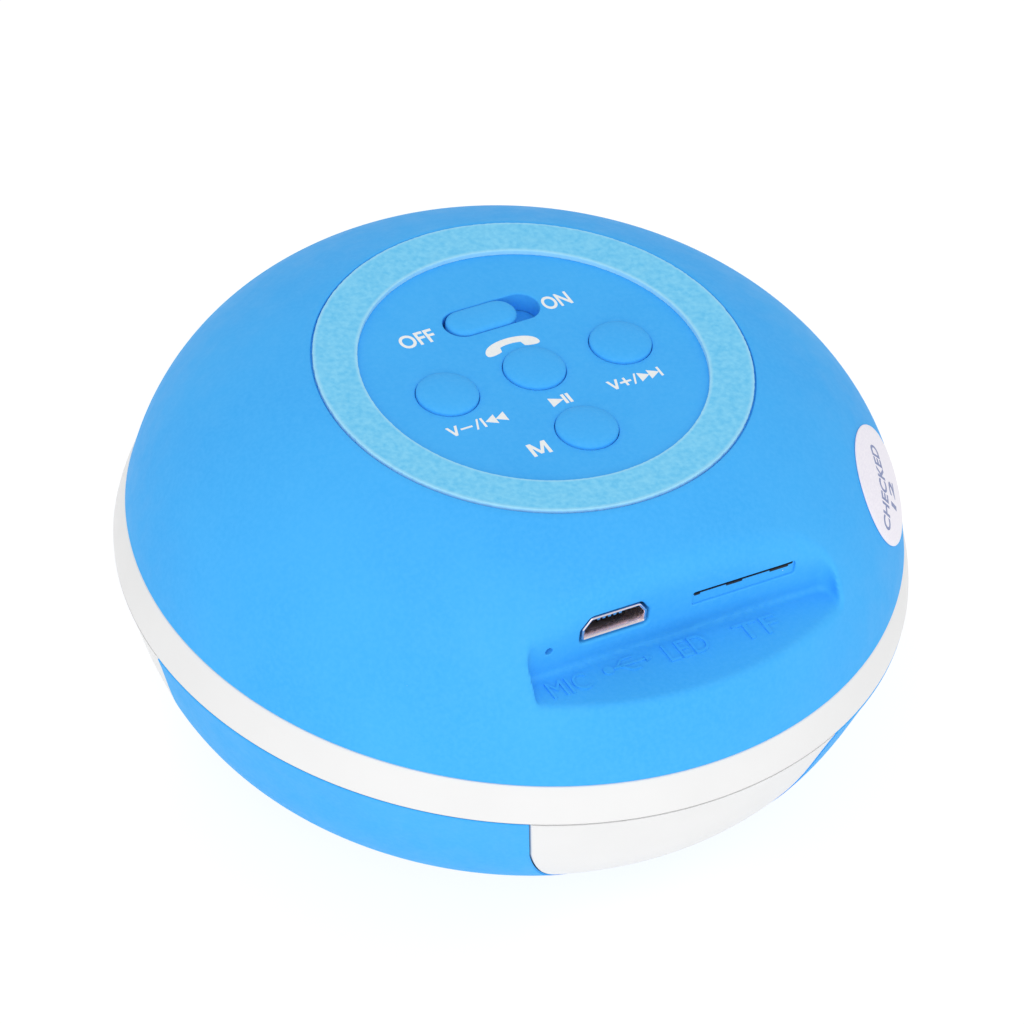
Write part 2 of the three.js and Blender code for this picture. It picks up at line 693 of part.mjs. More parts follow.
function buttonCap({ x, y }) {
  return solid(turned([
    [0, STEM_BOTTOM],
    [STEM_RADIUS, STEM_BOTTOM],
    [STEM_RADIUS, FLANGE_BOTTOM],
    [FLANGE_RADIUS, FLANGE_BOTTOM],
    [FLANGE_RADIUS, FLANGE_TOP],
    [BUTTON_RADIUS, FLANGE_TOP],
    [BUTTON_RADIUS, BUTTON_SHOULDER],
    [BUTTON_RADIUS * 0.88, BUTTON_TOP - 0.15],
    [BUTTON_RADIUS * 0.55, BUTTON_TOP - 0.03],
    [0, BUTTON_TOP],
  ], BUTTON_STEPS).translate(x, y, 0));
}

function tactBody({ x, y }) {
  const { size, top, wellBottom, wellRadius } = TACT;
  const body = solid(block(x, y, BOARD_TOP, size, size, top - BOARD_TOP));
  return body.subtract(solid(rod(wellRadius, wellBottom, top + 1).translate(x, y, 0)));
}

function tactPlunger({ x, y }) {
  const bottom = TACT.wellBottom + BUTTON_TRAVEL + FACE_GAP;
  return solid(rod(TACT.plungerRadius, bottom, PLUNGER_TOP).translate(x, y, 0));
}

function powerKnob() {
  const { x, length, width, top } = KNOB;
  const y = SLIDER_SLOT.y;
  const grip = solid(plate(stadium(x, y, length, width), KNOB_PLATE.top - 0.2, top - 0.25));
  const crown = solid(plate(stadium(x, y, length - 0.5, width - 0.5), top - 0.3, top));
  const half = KNOB_PLATE.length / 2;
  const side = KNOB_PLATE.width / 2;
  const outline = roundedRectangle(KNOB_PLATE.x - half, KNOB_PLATE.x + half, y - side, y + side, 1);
  const base = solid(plate(outline, KNOB_PLATE.bottom, KNOB_PLATE.top, 3));
  const gap = LEVER_CLEARANCE;
  const socket = block(x, y, KNOB_PLATE.bottom - 1, LEVER.length + gap, LEVER.width + gap, 2.2);
  return joinAll(base, [grip, crown]).subtract(solid(socket));
}

function powerSwitchBody() {
  const { length, width, top } = SWITCH_BODY;
  const { y } = SLIDER_SLOT;
  const x = KNOB.x + SLIDER_TRAVEL / 2;
  const gap = LEVER_CLEARANCE;
  const body = solid(block(x, y, BOARD_TOP, length, width, top - BOARD_TOP));
  const slotLength = LEVER.length + SLIDER_TRAVEL + gap * 2;
  return body.subtract(solid(block(x, y, LEVER.bottom - 0.1, slotLength, LEVER.width + gap * 2, 2)));
}

const powerSwitchLever = () => {
  const { length, width, bottom, top } = LEVER;
  return solid(block(KNOB.x, SLIDER_SLOT.y, bottom, length, width, top - bottom));
};

// ---- Fasteners and leads -------------------------------------------------------------------------

// A pan-head screw whose head rests on the height "seat". Its point is up or down from there.
function screw([x, y], seat, { head, headHeight, shank, length }, point) {
  const profile = [
    [0, -headHeight],
    [head * 0.8, -headHeight],
    [head, -headHeight * 0.5],
    [head, 0],
    [shank, 0],
    [shank, length],
    [0, length],
  ];
  const standing = point === 'up' ? profile : profile.map(([radius, height]) => [radius, -height]);
  return solid(turned(standing, SCREW_STEPS).translate(x, y, seat));
}

const SPEAKER_LEAD = [[-22.5, 0, 13.3], [-24, 0, 10], [-24.6, 0, 2], [-22, 0, -6], [-16.2, 0, -12]];
const BATTERY_LEAD = [[0, 21.4, 9.4], [0, 22.2, 9.5], [0, 24, 9.7], [0, 24.6, 10.3]];
const LEAD_RADIUS = 0.5;

// One lead of a pair: the shared route, moved sideways.
function leadBeside(route, sideways) {
  const moved = route.map((point) => point.map((value, axis) => value + sideways[axis]));
  return solid(leadAlong(moved, LEAD_RADIUS));
}

// ---- Assembly ------------------------------------------------------------------------------------

const speaker = new THREE.Group();
speaker.position.z = SEAM_HEIGHT;

speaker.add(part('upper_shell', upperShell(), BLUE));
speaker.add(part('anti_slip_ring', antiSlipRing(), LIGHT_BLUE));
speaker.add(part('inspection_sticker', inspectionSticker(), LABEL));
speaker.add(part('mid_band', midBand(), WHITE));
speaker.add(part('shell_seal', shellSeal(), SEAL));
speaker.add(part('lower_shell', lowerShell(), WHITE));
speaker.add(part('lower_cover', lowerCover(), BLUE));
speaker.add(part('grille_bezel', grilleBezel(), WHITE));
speaker.add(part('speaker_grille', speakerGrille(), GRILLE_STEEL));

speaker.add(part('driver_gasket', driverGasket(), FOAM));
speaker.add(part('driver_basket', driverBasket(), STEEL));
speaker.add(part('driver_surround', driverSurround(), BLACK_RUBBER));
speaker.add(part('driver_cone', driverCone(), PAPER));
speaker.add(part('driver_dust_cap', driverDustCap(), PAPER));
speaker.add(part('voice_coil', voiceCoil(), COPPER));
speaker.add(part('driver_spider', driverSpider(), SPIDER_CLOTH));
speaker.add(part('driver_top_plate', driverTopPlate(), STEEL));
speaker.add(part('driver_magnet', driverMagnet(), FERRITE));
speaker.add(part('driver_yoke', driverYoke(), STEEL));

speaker.add(part('main_board', mainBoard(), BOARD_GREEN));
speaker.add(part('audio_chip', audioChip(), BLACK_PLASTIC));
speaker.add(part('usb_shell', usbShell(), STEEL));
speaker.add(part('usb_tongue', usbTongue(), BLACK_PLASTIC));
speaker.add(part('card_socket', cardSocket(), STEEL));
speaker.add(part('microphone', microphone(), STEEL));
speaker.add(part('status_led', statusLed(), LED_LENS));
speaker.add(part('battery', battery(), BATTERY_WRAP));
speaker.add(part('battery_tape', batteryTape(), FOAM));
speaker.add(part('battery_connector', batteryConnector(), WHITE));

for (const button of BUTTONS) {
  speaker.add(part(`${button.name}_button`, buttonCap(button), BLUE));
  speaker.add(part(`${button.name}_switch`, tactBody(button), BLACK_PLASTIC));
  speaker.add(part(`${button.name}_plunger`, tactPlunger(button), BLACK_PLASTIC));
}

speaker.add(part('power_knob', powerKnob(), BLUE));
speaker.add(part('power_switch', powerSwitchBody(), STEEL));
speaker.add(part('power_lever', powerSwitchLever(), BLACK_PLASTIC));

BOARD_SCREW_PLACES.forEach((place, index) => {
  const body = screw(place, BOARD_BOTTOM, BOARD_SCREW, 'up');
  speaker.add(part(`board_screw_${index + 1}`, body, STEEL));
});
seamScrewPlaces().forEach((place, index) => {
  const body = screw(place, SEAM_HEAD_SEAT, SEAM_SCREW, 'up');
  speaker.add(part(`seam_screw_${index + 1}`, body, STEEL));
});
driverScrewPlaces().forEach((place, index) => {
  const body = screw(place, DRIVER_SCREW_SEAT, DRIVER_SCREW, 'down');
  speaker.add(part(`driver_screw_${index + 1}`, body, STEEL));
});

speaker.add(part('speaker_lead_red', leadBeside(SPEAKER_LEAD, [0, 1.2, 0]), LEAD_RED));
speaker.add(part('speaker_lead_black', leadBeside(SPEAKER_LEAD, [0, -1.2, 0]), LEAD_BLACK));
speaker.add(part('battery_lead_red', leadBeside(BATTERY_LEAD, [1.5, 0, 0]), LEAD_RED));
speaker.add(part('battery_lead_black', leadBeside(BATTERY_LEAD, [-1.5, 0, 0]), LEAD_BLACK));

const group = new THREE.Group();
group.add(speaker);

export default group;
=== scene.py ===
"""Round shower speaker: fine shells, prints and materials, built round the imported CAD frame.

Working sizes are millimetres, with heights measured from the seam plane, where the dome meets the
white band. The port recess faces -Y and the legends read from -X to +X. Meshes are made in metres.
"""

import json
import math

import bmesh
import bpy
import numpy as np
from mathutils import Matrix, Vector


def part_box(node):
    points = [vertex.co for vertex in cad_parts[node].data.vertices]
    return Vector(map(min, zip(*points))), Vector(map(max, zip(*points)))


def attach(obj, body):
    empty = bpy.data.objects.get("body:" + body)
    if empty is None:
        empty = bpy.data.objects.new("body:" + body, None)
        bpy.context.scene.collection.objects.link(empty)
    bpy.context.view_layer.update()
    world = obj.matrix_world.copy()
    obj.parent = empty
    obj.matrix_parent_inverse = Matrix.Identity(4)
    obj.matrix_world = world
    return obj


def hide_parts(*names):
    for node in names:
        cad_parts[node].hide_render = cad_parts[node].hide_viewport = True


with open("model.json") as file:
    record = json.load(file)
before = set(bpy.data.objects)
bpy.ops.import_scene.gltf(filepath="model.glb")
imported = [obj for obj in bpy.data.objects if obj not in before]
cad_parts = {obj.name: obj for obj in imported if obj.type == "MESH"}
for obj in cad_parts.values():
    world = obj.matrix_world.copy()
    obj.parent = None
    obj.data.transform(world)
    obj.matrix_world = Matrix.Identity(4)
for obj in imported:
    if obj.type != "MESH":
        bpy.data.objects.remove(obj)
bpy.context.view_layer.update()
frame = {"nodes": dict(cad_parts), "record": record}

MM = 0.001
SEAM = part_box("upper_shell")[0].z
HOUSING = "housing"


def corners(node):
    """Lowest and highest corner of a CAD node, in millimetres from the seam plane."""
    lift = Vector((0, 0, SEAM))
    low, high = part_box(node)
    return (low - lift) / MM, (high - lift) / MM


# ---- Sizes ----

TURN_STEPS = 240
RING_TURN_STEPS = 480
DRIVER_TURN_STEPS = 128
SMALL_TURN_STEPS = 64
WELD_METRES = 1e-7
SHARP_ANGLE = math.radians(38)

DOME_RADIUS = corners("upper_shell")[1].x
DOME_TOP = corners("upper_shell")[1].z
DOME_TOP_RADIUS = 22.5
DOME_CURVE = [(DOME_RADIUS, 0), (38.2, 14.54), (DOME_TOP_RADIUS, DOME_TOP)]
DOME_INNER = [(37.9, 0), (36.1, 13.2), (21.8, 18.1)]
DOME_LIP = 0.28
PANEL_TOP = 20.25
PANEL_BOTTOM = 18.1

RING_INNER = 17.8
RING_OUTER = corners("anti_slip_ring")[1].x
RING_TOP = corners("anti_slip_ring")[1].z
RING_EDGE = 0.15
RING_ROUGHNESS = 0.03
RING_EDGE_REACH = 0.4
RING_INNER_SHARE = 0.6
RING_SEAT = 0.02

BAND_RADIUS = corners("mid_band")[1].x
BAND_BOTTOM = corners("mid_band")[0].z
BAND_TOP_RADIUS = 39.95
BAND_CROWN = (40.885, -2.275)
BAND_INNER = 36.5
BAND_SPIGOT = 37.3
BAND_SPIGOT_TOP = corners("mid_band")[1].z
SEAL_GROOVE = {"inner": 38.1, "outer": 39.2, "depth": 0.9}

BOWL_TOP = corners("lower_cover")[1].z
BOWL_RIM = corners("lower_cover")[0].z
BOWL_CURVE = [(BAND_RADIUS, BOWL_TOP), (38.03, -11.45), (37.5, -18.3), (26.6, BOWL_RIM)]
COVER_WALL = 1.5
LOWER_SHELL_INSET = 1.75
LOWER_SHELL_WALL = 1.75
BASE_TOP = -19.0
SOUND_OPENING = 17.6

TONGUE_TURNS = (-1.7, 115.7, -115.7)
TONGUE_HALF = {"top": 17.4, "shoulder": 15.7, "bend": 12.7, "flat": 7.0}
TONGUE_SHOULDER = -10.8
TONGUE_BOTTOM = -18.6
TONGUE_DEPTH = 0.06
TONGUE_GAP = 0.12
TONGUE_EDGE = 0.14
TONGUE_RUN_UP = 2
TONGUE_TOOL = {"outside": -46, "inside": -20}

SEAM_SCREW_REACH = 32.0
SEAM_SCREW_ANGLES = (-45, -135, 90)
SEAM_BOSS = 2.9
SEAM_HEAD_BORE = 2.1
SEAM_HEAD_SEAT = -6.0
SEAM_BOSS_BELOW_SEAT = 7
SEAM_BOSS_TOP = -0.05
TONGUE_SKIN_OVERLAP = 0.4

RECESS = {"left": -17.1, "right": 18.2, "wall": -29.5, "floor": 8.35}
RECESS_CORNER = 1.4
RECESS_FILLET = 0.5
# Painted shade: a soft darker patch of paint along the recess's inner corner, where shade falls.
RECESS_PAINTED_SHADE = {"x": 1.8, "rise": 0.5, "reach": 1.7, "squeeze": 0.1, "share": 0.5}
RECESS_JACKET = 1.6
RECESS_EDGE_SHARP = 0.6
RECESS_EDGE_SOFT = 2.1
RECESS_SOFT_RISE = (0.5, 4.5)
RECESS_SOFT_END = (0.4, 3.2)
RECESS_COLUMN = 0.22
RECESS_SECTOR = (-128, -49)
RECESS_ROWS = (6.0, 19.3)
ROW_STEP = {"crown": 0.35, "front": 0.2, "side": 0.6, "inside_low": 1, "inside": 0.5}
INSIDE_ROWS_BELOW = 3
INSIDE_ROWS_TOP = 17.4
COARSE_COLUMN_DEGREES = 1.6
PRESS_STEP = 0.1
PRESS_STEPS = 140
SURFACE_NEAR = 1e-4
SLOPE_STEP = 0.01
RELAX_ROUNDS = {"outside": 60, "inside": 12}

USB = {"x": -6.65, "z": 12.6, "wide": 7.4, "narrow": 5.6, "height": 2.7, "metal": 0.3}
USB_GAP = 0.25
USB_RAMP = {"depth": 1.0, "rise": 0.5}
USB_LIP = 0.12
USB_CONTACTS = {"count": 5, "first": -2.6, "pitch": 0.62, "depth": 0.55, "length": 2.45}
USB_CONTACT = {"width": 0.34, "low": 12.95, "high": 13.2, "corner": 0.05}
CARD_SLIT = {"x": 8.2, "width": 11.6, "low": 12.62, "high": 13.05, "corner": 0.12}
CARD_RELIEF = {"x": 8.2, "width": 11.9, "low": 11.5, "high": 13.15, "corner": 0.25}
CARD_RELIEF_DEPTH = 0.28
CARD_NOTCHES = ((2.9, 0.7), (7.2, 1.9), (12.4, 2.2))
CARD_NOTCH = {"low": CARD_SLIT["low"] - 0.18, "high": CARD_SLIT["low"] + 0.3, "corner": 0.1}
CARD_LINER = {"gap": 0.07, "outer": 0.03, "inner": -0.07, "depth": 1.2}
CARD_LINER_NOTCH = {"low": CARD_SLIT["low"] - 0.2, "high": CARD_SLIT["low"] + 0.02, "corner": 0.08}
PORT_MOUTH = {"usb": 0.3, "mic": 0.12, "relief": 0.14, "slit": 0.06, "notch": 0.05}
PORT_HOLE_REACH = 1.5
TOOL_OUTSIDE = 2
MIC = {"x": -14.1, "z": 11.4, "radius": 0.4}

KEYS = {
    "play": "play_key",
    "volume_down": "volume_down_key",
    "volume_up": "volume_up_key",
    "mode": "mode_key",
}
KEY_RADIUS = 3.2
KEY_CLEARANCE = 0.06
KEY_MOUTH = 0.1
SLOT_MOUTH = 0.16
PANEL_TOOL_DEPTH = 3
KEY_SHIFT = (-0.05, -0.28)
KEY_SHOULDER = 20.38
KEY_TOP = 20.95
KEY_CROWN_POWER = 2.3
KEY_FLANGE = {"radius": 4.1, "bottom": 17.45, "top": 18.05}
KEY_STEM = 1.5

SLIDER_SLOT = {"x": 0.12, "y": 8.88, "length": 10.8, "width": 4.0}
KNOB = {"x": -1.05, "length": 7.8, "width": 3.78}
KNOB_TOP = 20.62
KNOB_ROUNDING = 0.55
KNOB_ROUNDING_SPREAD = 1.3
KNOB_ROUNDING_RISE = 0.88
KNOB_CROWN = ((1.25, 0.02), (1.7, 0))
KNOB_SOCKET = {"half": 0.75, "width": 1.7, "depth": 1.2, "corner": 0.1}
KNOB_PLATE_TOP = 18.0

STICKER = {"angle": -32.2, "along": 0.365, "half_length": 7.2, "half_width": 5.8, "print_turn": 27}
STICKER_LIFT = 0.04
STICKER_THICK = 0.14
STICKER_INK_THICK = 0.03
STICKER_WORDS = {"CHECKED": (-5.6, 4.0, 0.15, 1.9), "12": (-2.3, 0.7, -2.4, -0.7)}

BEZEL_OUTER = corners("grille_bezel")[1].x
BEZEL_REST = corners("grille_bezel")[0].z
BEZEL_INNER = 23.6
BEZEL_LEDGE = -23.0
BEZEL_SPIGOT_OUTER = BEZEL_OUTER - 1.0
BEZEL_SPIGOT_INNER = BEZEL_OUTER - 2.2
GRILLE_LOW = corners("speaker_grille")[0].z
GRILLE_HIGH = corners("speaker_grille")[1].z
GRILLE_RADIUS = 24.7
GRILLE_HOLE = 0.8
GRILLE_PITCH = 2.55
GRILLE_REACH = 22.2
ROLL_MIDDLE = (15.45, -18.2)

LEGEND_HEIGHT = 1.4
LEGEND_SHIFT = (-0.22, -0.33)
LEGEND_INK_THICK = 0.025
INK_SUNK = 0.01
LEGEND_WORDS = {"OFF": (-10.45, -6.5, 7.85, 9.85), "ON": (5.95, 9.05, 7.5, 9.5)}
LEGEND_SIGNS = {
    "V-/|<<": (-12.65, -6.05, -5.1),
    ">||": (-0.95, 1.35, -5.2),
    "V+/>>|": (5.75, 11.8, -5.35),
    "M": (-6.5, -4.4, -10.8, 1.9),
}
HANDSET_PLACE = (-0.2, 4.35)
PORT_WORDS = {
    "MIC": (-15.1, -10.7, -33.0, -30.7),
    "LED": (-1.75, 3.0, -33.0, -30.6),
    "TF": (6.2, 11.0, -33.4, -31.0),
}
PORT_WORD_HEIGHTS = (-0.1, 0.17)
CABLE_SIGN_Y = -31.55
CABLE_SIGN_BAR = {"x": -5.8, "width": 3.66, "low": -0.12, "high": 0.12, "corner": 0.1}
CABLE_SIGN_DISC = {"x": -8.2, "y": 0, "radius": 0.55, "count": 20}
CABLE_SIGN_SHAPES = [
    [(-3.95, -0.4), (-3.25, 0), (-3.95, 0.4)],
    [(-7.3, 0.1), (-7.0, 0.1), (-6.3, 0.75), (-5.2, 0.75), (-5.2, 0.95), (-6.4, 0.95)],
    [(-6.5, -0.1), (-5.7, -0.75), (-4.9, -0.75), (-4.9, -0.95), (-5.8, -0.95), (-6.8, -0.1)],
]

CAMERA = {"heading": -34.0, "elevation": 41.07535, "roll": 6.74944}
CAMERA_DISTANCE = 760.6
CAMERA_AIM = {"right": -0.361, "up": 0.594}
CAMERA_LENS = 261.2
TABLE_LEVEL = -0.00003
TABLE_HALF_WIDTH = 4.0
TABLE_GLOW = 0.86
SURROUND_LIGHT = 0.8
SOFT_LIGHT_PLACE = (-0.36, -0.62, 0.52)
SOFT_LIGHT_WIDTH = 0.7
SOFT_LIGHT_POWER = 2.6

# ---- Curves and outlines ----


def bezier(points, count):
    """Evenly stepped points along a Bezier curve of any degree."""
    points = np.array(points, float)
    degree = len(points) - 1
    t = np.linspace(0, 1, count)[:, None]
    shares = [math.comb(degree, i) * t**i * (1 - t) ** (degree - i) for i in range(degree + 1)]
    return sum(share * point for share, point in zip(shares, points))


def arc(centre, radius, start, end, count):
    """Points along a circular arc, in degrees."""
    angles = np.radians(np.linspace(start, end, count))
    return np.stack([centre[0] + radius * np.cos(angles), centre[1] + radius * np.sin(angles)], axis=1)


def filleted(outline, steps=5):
    """A closed outline with arcs at its corners: each entry is (x, y) or (x, y, corner radius)."""
    places = [np.array(entry[:2], float) for entry in outline]
    points = []
    for i, entry in enumerate(outline):
        radius = entry[2] if len(entry) > 2 else 0
        before = places[i - 1] - places[i]
        after = places[(i + 1) % len(places)] - places[i]
        room = min(np.linalg.norm(before), np.linalg.norm(after)) / 2
        before /= np.linalg.norm(before)
        after /= np.linalg.norm(after)
        half = math.acos(np.clip(before @ after, -1, 1)) / 2
        if radius == 0 or half > math.radians(88):
            points.append(places[i])
            continue
        reach = min(radius / math.tan(half), room)
        bisector = (before + after) / np.linalg.norm(before + after)
        centre = places[i] + bisector * reach / math.cos(half)
        start = places[i] + before * reach - centre
        end = places[i] + after * reach - centre
        sweep = math.pi - 2 * half
        for step in range(steps + 1):
            share = step / steps
            turned = math.sin((1 - share) * sweep) * start + math.sin(share * sweep) * end
            points.append(centre + turned / math.sin(sweep))
    return np.array(points)


def grown(outline, by):
    """A closed, anticlockwise outline moved outwards, with its corners mitred."""
    ahead = np.roll(outline, -1, axis=0) - outline
    ahead /= np.linalg.norm(ahead, axis=1)[:, None]
    behind = np.roll(ahead, 1, axis=0)
    out_ahead = np.stack([ahead[:, 1], -ahead[:, 0]], axis=1)
    out_behind = np.stack([behind[:, 1], -behind[:, 0]], axis=1)
    middle = out_ahead + out_behind
    return outline + by * middle * (2 / (middle**2).sum(axis=1))[:, None]


def anticlockwise(outline):
    """A closed outline, turned round if it runs clockwise."""
    ahead = np.roll(outline, -1, axis=0)
    area = (outline[:, 0] * ahead[:, 1] - ahead[:, 0] * outline[:, 1]).sum()
    return outline if area > 0 else outline[::-1]


def stadium(x, y, length, width, count):
    """A bar with half-round ends, each of the given number of points."""
    reach = (length - width) / 2
    right = arc((x + reach, y), width / 2, -90, 90, count)
    left = arc((x - reach, y), width / 2, 90, 270, count)
    return np.vstack([right, left])


def circle(x, y, radius, count):
    """An anticlockwise circle."""
    return arc((x, y), radius, 0, 360 - 360 / count, count)


def heading_of(curve):
    """The unit direction of a curve at each of its points."""
    heading = np.gradient(curve, axis=0)
    return heading / np.linalg.norm(heading, axis=1)[:, None]


def bowl_inset(inset, count=48):
    """The bowl's curve moved inwards by a wall thickness, and kept below the band."""
    heading = heading_of(bowl_curve)
    moved = bowl_curve + np.stack([heading[:, 1], -heading[:, 0]], axis=1) * inset
    moved[:, 1] = np.minimum(moved[:, 1], BOWL_TOP)
    return moved[np.linspace(0, len(moved) - 1, count).round().astype(int)]


dome_curve, dome_inner_curve, bowl_curve = (
    bezier(curve, 400) for curve in (DOME_CURVE, DOME_INNER, BOWL_CURVE)
)


# ---- Mesh helpers ----


def linked(name, data):
    """A scene object for a mesh, curve, light or camera."""
    obj = bpy.data.objects.new(name, data)
    bpy.context.scene.collection.objects.link(obj)
    return obj


def welded(name, mesh):
    """An object of a mesh whose doubled vertices are joined and whose faces point out."""
    work = bmesh.new()
    work.from_mesh(mesh)
    bmesh.ops.remove_doubles(work, verts=work.verts, dist=WELD_METRES)
    bmesh.ops.recalc_face_normals(work, faces=work.faces)
    work.to_mesh(mesh)
    work.free()
    return linked(name, mesh)


def solid(name, vertices, faces):
    """A closed mesh object from millimetre vertices, measured from the seam plane."""
    mesh = bpy.data.meshes.new(name)
    places = np.array(vertices, float) * MM + (0, 0, SEAM)
    mesh.from_pydata(places.tolist(), [], faces)
    return welded(name, mesh)


def current_mesh(obj):
    """A new mesh of an object as its modifiers or its curve settings leave it."""
    graph = bpy.context.evaluated_depsgraph_get()
    return bpy.data.meshes.new_from_object(obj.evaluated_get(graph))


def grid_faces(rows, columns):
    """Four-sided faces of a grid that closes on itself in both directions."""
    faces = []
    for row in range(rows):
        here, there = row * columns, (row + 1) % rows * columns
        for column in range(columns):
            beside = (column + 1) % columns
            faces.append((here + column, there + column, there + beside, here + beside))
    return faces


def lathe(name, profile, steps=TURN_STEPS):
    """A closed (radius, height) outline turned about Z. One that ends on the axis is closed there."""
    radius, height = np.array(profile, float).T
    angles = np.linspace(0, 2 * math.pi, steps, endpoint=False)
    x, y = np.outer(np.cos(angles), radius), np.outer(np.sin(angles), radius)
    z = np.broadcast_to(height, x.shape)
    return solid(name, np.stack([x, y, z], axis=2).reshape(-1, 3), grid_faces(*x.shape))


def loft(name, rings):
    """A solid skinned over rings of equally many points, closed by its first and last ring."""
    size = len(rings[0])
    faces = [tuple(range(size)), tuple(range((len(rings) - 1) * size, len(rings) * size))]
    for row in range(len(rings) - 1):
        for i in range(size):
            beside = (i + 1) % size
            here, above = size * row, size * (row + 1)
            faces.append((here + i, above + i, above + beside, here + beside))
    return solid(name, np.vstack(rings), faces)


def level(outline, height):
    """A flat outline in X and Y at one height."""
    return np.column_stack([outline, np.full(len(outline), height)])


def upright(outline, y):
    """A flat outline in X and Z at one place in Y."""
    return np.column_stack([outline[:, 0], np.full(len(outline), y), outline[:, 1]])


def joined(name, objects):
    """One object that holds the meshes of several, which are removed."""
    work = bmesh.new()
    for obj in objects:
        work.from_mesh(obj.data)
        bpy.data.objects.remove(obj)
    mesh = bpy.data.meshes.new(name)
    work.to_mesh(mesh)
    work.free()
    return linked(name, mesh)


def settle(obj):
    """Turns an object's modifiers into its mesh."""
    mesh = current_mesh(obj)
    obj.modifiers.clear()
    obj.data = mesh


def combine(target, tool, operation="DIFFERENCE"):
    """Cuts, joins or crosses the target with a tool, which is removed."""
    change = target.modifiers.new("combine", "BOOLEAN")
    change.operation = operation
    change.solver = "EXACT"
    change.object = tool
    settle(target)
    bpy.data.objects.remove(tool)


def rounded_entry(radius, steps=4):
    """(outward growth, depth) pairs down the rounded mouth of a hole."""
    angles = np.linspace(0, math.pi / 2, steps + 1)
    return [(radius * (1 - math.sin(a)), radius * (1 - math.cos(a))) for a in angles]


def hole_tool(name, outline, mouth, place, outside, inside):
    """A cutter for a hole with a rounded mouth. place(outline, depth) puts a ring at a depth."""
    rings = [place(grown(outline, mouth), -outside)]
    rings += [place(grown(outline, growth), depth) for growth, depth in rounded_entry(mouth)]
    rings.append(place(outline, inside))
    return loft(name, rings)


def finished(obj, body, slot, *nodes, look=None):
    """Gives a piece its shading, its material (the look given, or else the one for its slot) and its body,
    and hides the CAD nodes it stands for.
    """
    obj.data.shade_smooth()
    obj.data.set_sharp_from_angle(angle=SHARP_ANGLE)
    weighted = obj.modifiers.new("even_normals", "WEIGHTED_NORMAL")
    weighted.keep_sharp = True
    obj.data.materials.clear()
    obj.data.materials.append(look or LOOKS[slot])
    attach(obj, body)
    if nodes:
        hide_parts(*nodes)


# ---- Materials ----


class Look:
    """A Principled material under construction, with textures in object space, in metres."""

    def __init__(self, name, roughness, metallic=0.0, **sockets):
        self.material = bpy.data.materials.new(name)
        self.material.use_nodes = True
        self.nodes = self.material.node_tree.nodes
        self.links = self.material.node_tree.links
        self.shader = self.nodes["Principled BSDF"]
        self.shader.inputs["Roughness"].default_value = roughness
        self.shader.inputs["Metallic"].default_value = metallic
        for socket, value in sockets.items():
            self.shader.inputs[socket.replace("_", " ")].default_value = value
        self.place = self.add("ShaderNodeTexCoord").outputs["Object"]

    def add(self, kind, **settings):
        """A new node with the given settings."""
        node = self.nodes.new(kind)
        for name, value in settings.items():
            setattr(node, name, value)
        return node

    def wire(self, node, **inputs):
        """Links or sets a node's named inputs, with an underscore for a space."""
        for name, value in inputs.items():
            socket = node.inputs[name.replace("_", " ")]
            if isinstance(value, bpy.types.NodeSocket):
                self.links.new(value, socket)
            else:
                socket.default_value = value
        return node

    def scaled_place(self, factors):
        """The texture place, stretched or flattened along each axis."""
        node = self.add("ShaderNodeVectorMath", operation="MULTIPLY")
        self.links.new(self.place, node.inputs[0])
        node.inputs[1].default_value = factors
        return node.outputs["Vector"]

    def distance(self, place, middle=(0, 0, 0)):
        """How far a place is from a fixed point."""
        node = self.add("ShaderNodeVectorMath", operation="DISTANCE")
        self.links.new(place, node.inputs[0])
        node.inputs[1].default_value = middle
        return node.outputs["Value"]

    def noise(self, size_mm, detail=2.0, stretch=None):
        """Noise with features of about a given size."""
        place = self.scaled_place(stretch) if stretch else self.place
        node = self.add("ShaderNodeTexNoise")
        self.wire(node, Vector=place, Scale=1 / (size_mm * MM), Detail=detail)
        return node.outputs["Fac"]

    def spread(self, value, low, high, out_low=0.0, out_high=1.0):
        """A value between low and high, stretched to the outer range and held at its ends."""
        node = self.add("ShaderNodeMapRange")
        self.wire(node, Value=value, From_Min=low, From_Max=high, To_Min=out_low, To_Max=out_high)
        return node.outputs["Result"]

    def mix(self, share, first, second):
        """A colour between two colours or outputs."""
        node = self.add("ShaderNodeMix", data_type="RGBA")
        self.links.new(share, node.inputs[0])
        for index, colour in ((6, first), (7, second)):
            if isinstance(colour, bpy.types.NodeSocket):
                self.links.new(colour, node.inputs[index])
            else:
                node.inputs[index].default_value = (*colour, 1)
        return node.outputs[2]

    def specks(self, spacing_mm, radius_mm, share):
        """1 on small round specks, each in a random cell of the given spacing, and 0 elsewhere."""
        cells = self.add("ShaderNodeTexVoronoi")
        self.wire(cells, Vector=self.place, Scale=1 / (spacing_mm * MM))
        reach = radius_mm / spacing_mm
        near = self.spread(cells.outputs["Distance"], reach * 0.6, reach, 1, 0)
        chosen = self.add("ShaderNodeMath", operation="GREATER_THAN")
        parts = self.add("ShaderNodeSeparateColor")
        self.links.new(cells.outputs["Color"], parts.inputs[0])
        self.links.new(parts.outputs[0], chosen.inputs[0])
        chosen.inputs[1].default_value = 1 - share
        both = self.add("ShaderNodeMath", operation="MULTIPLY")
        self.links.new(near, both.inputs[0])
        self.links.new(chosen.outputs[0], both.inputs[1])
        return both.outputs[0]

    def colour(self, output):
        """Wires the surface colour."""
        self.links.new(output, self.shader.inputs["Base Color"])

    def roughness(self, output):
        """Wires the roughness."""
        self.links.new(output, self.shader.inputs["Roughness"])

    def bump(self, height, depth_mm, strength=1.0):
        """Wires a height into the normal."""
        node = self.add("ShaderNodeBump")
        self.wire(node, Height=height, Distance=depth_mm * MM, Strength=strength)
        self.links.new(node.outputs["Normal"], self.shader.inputs["Normal"])


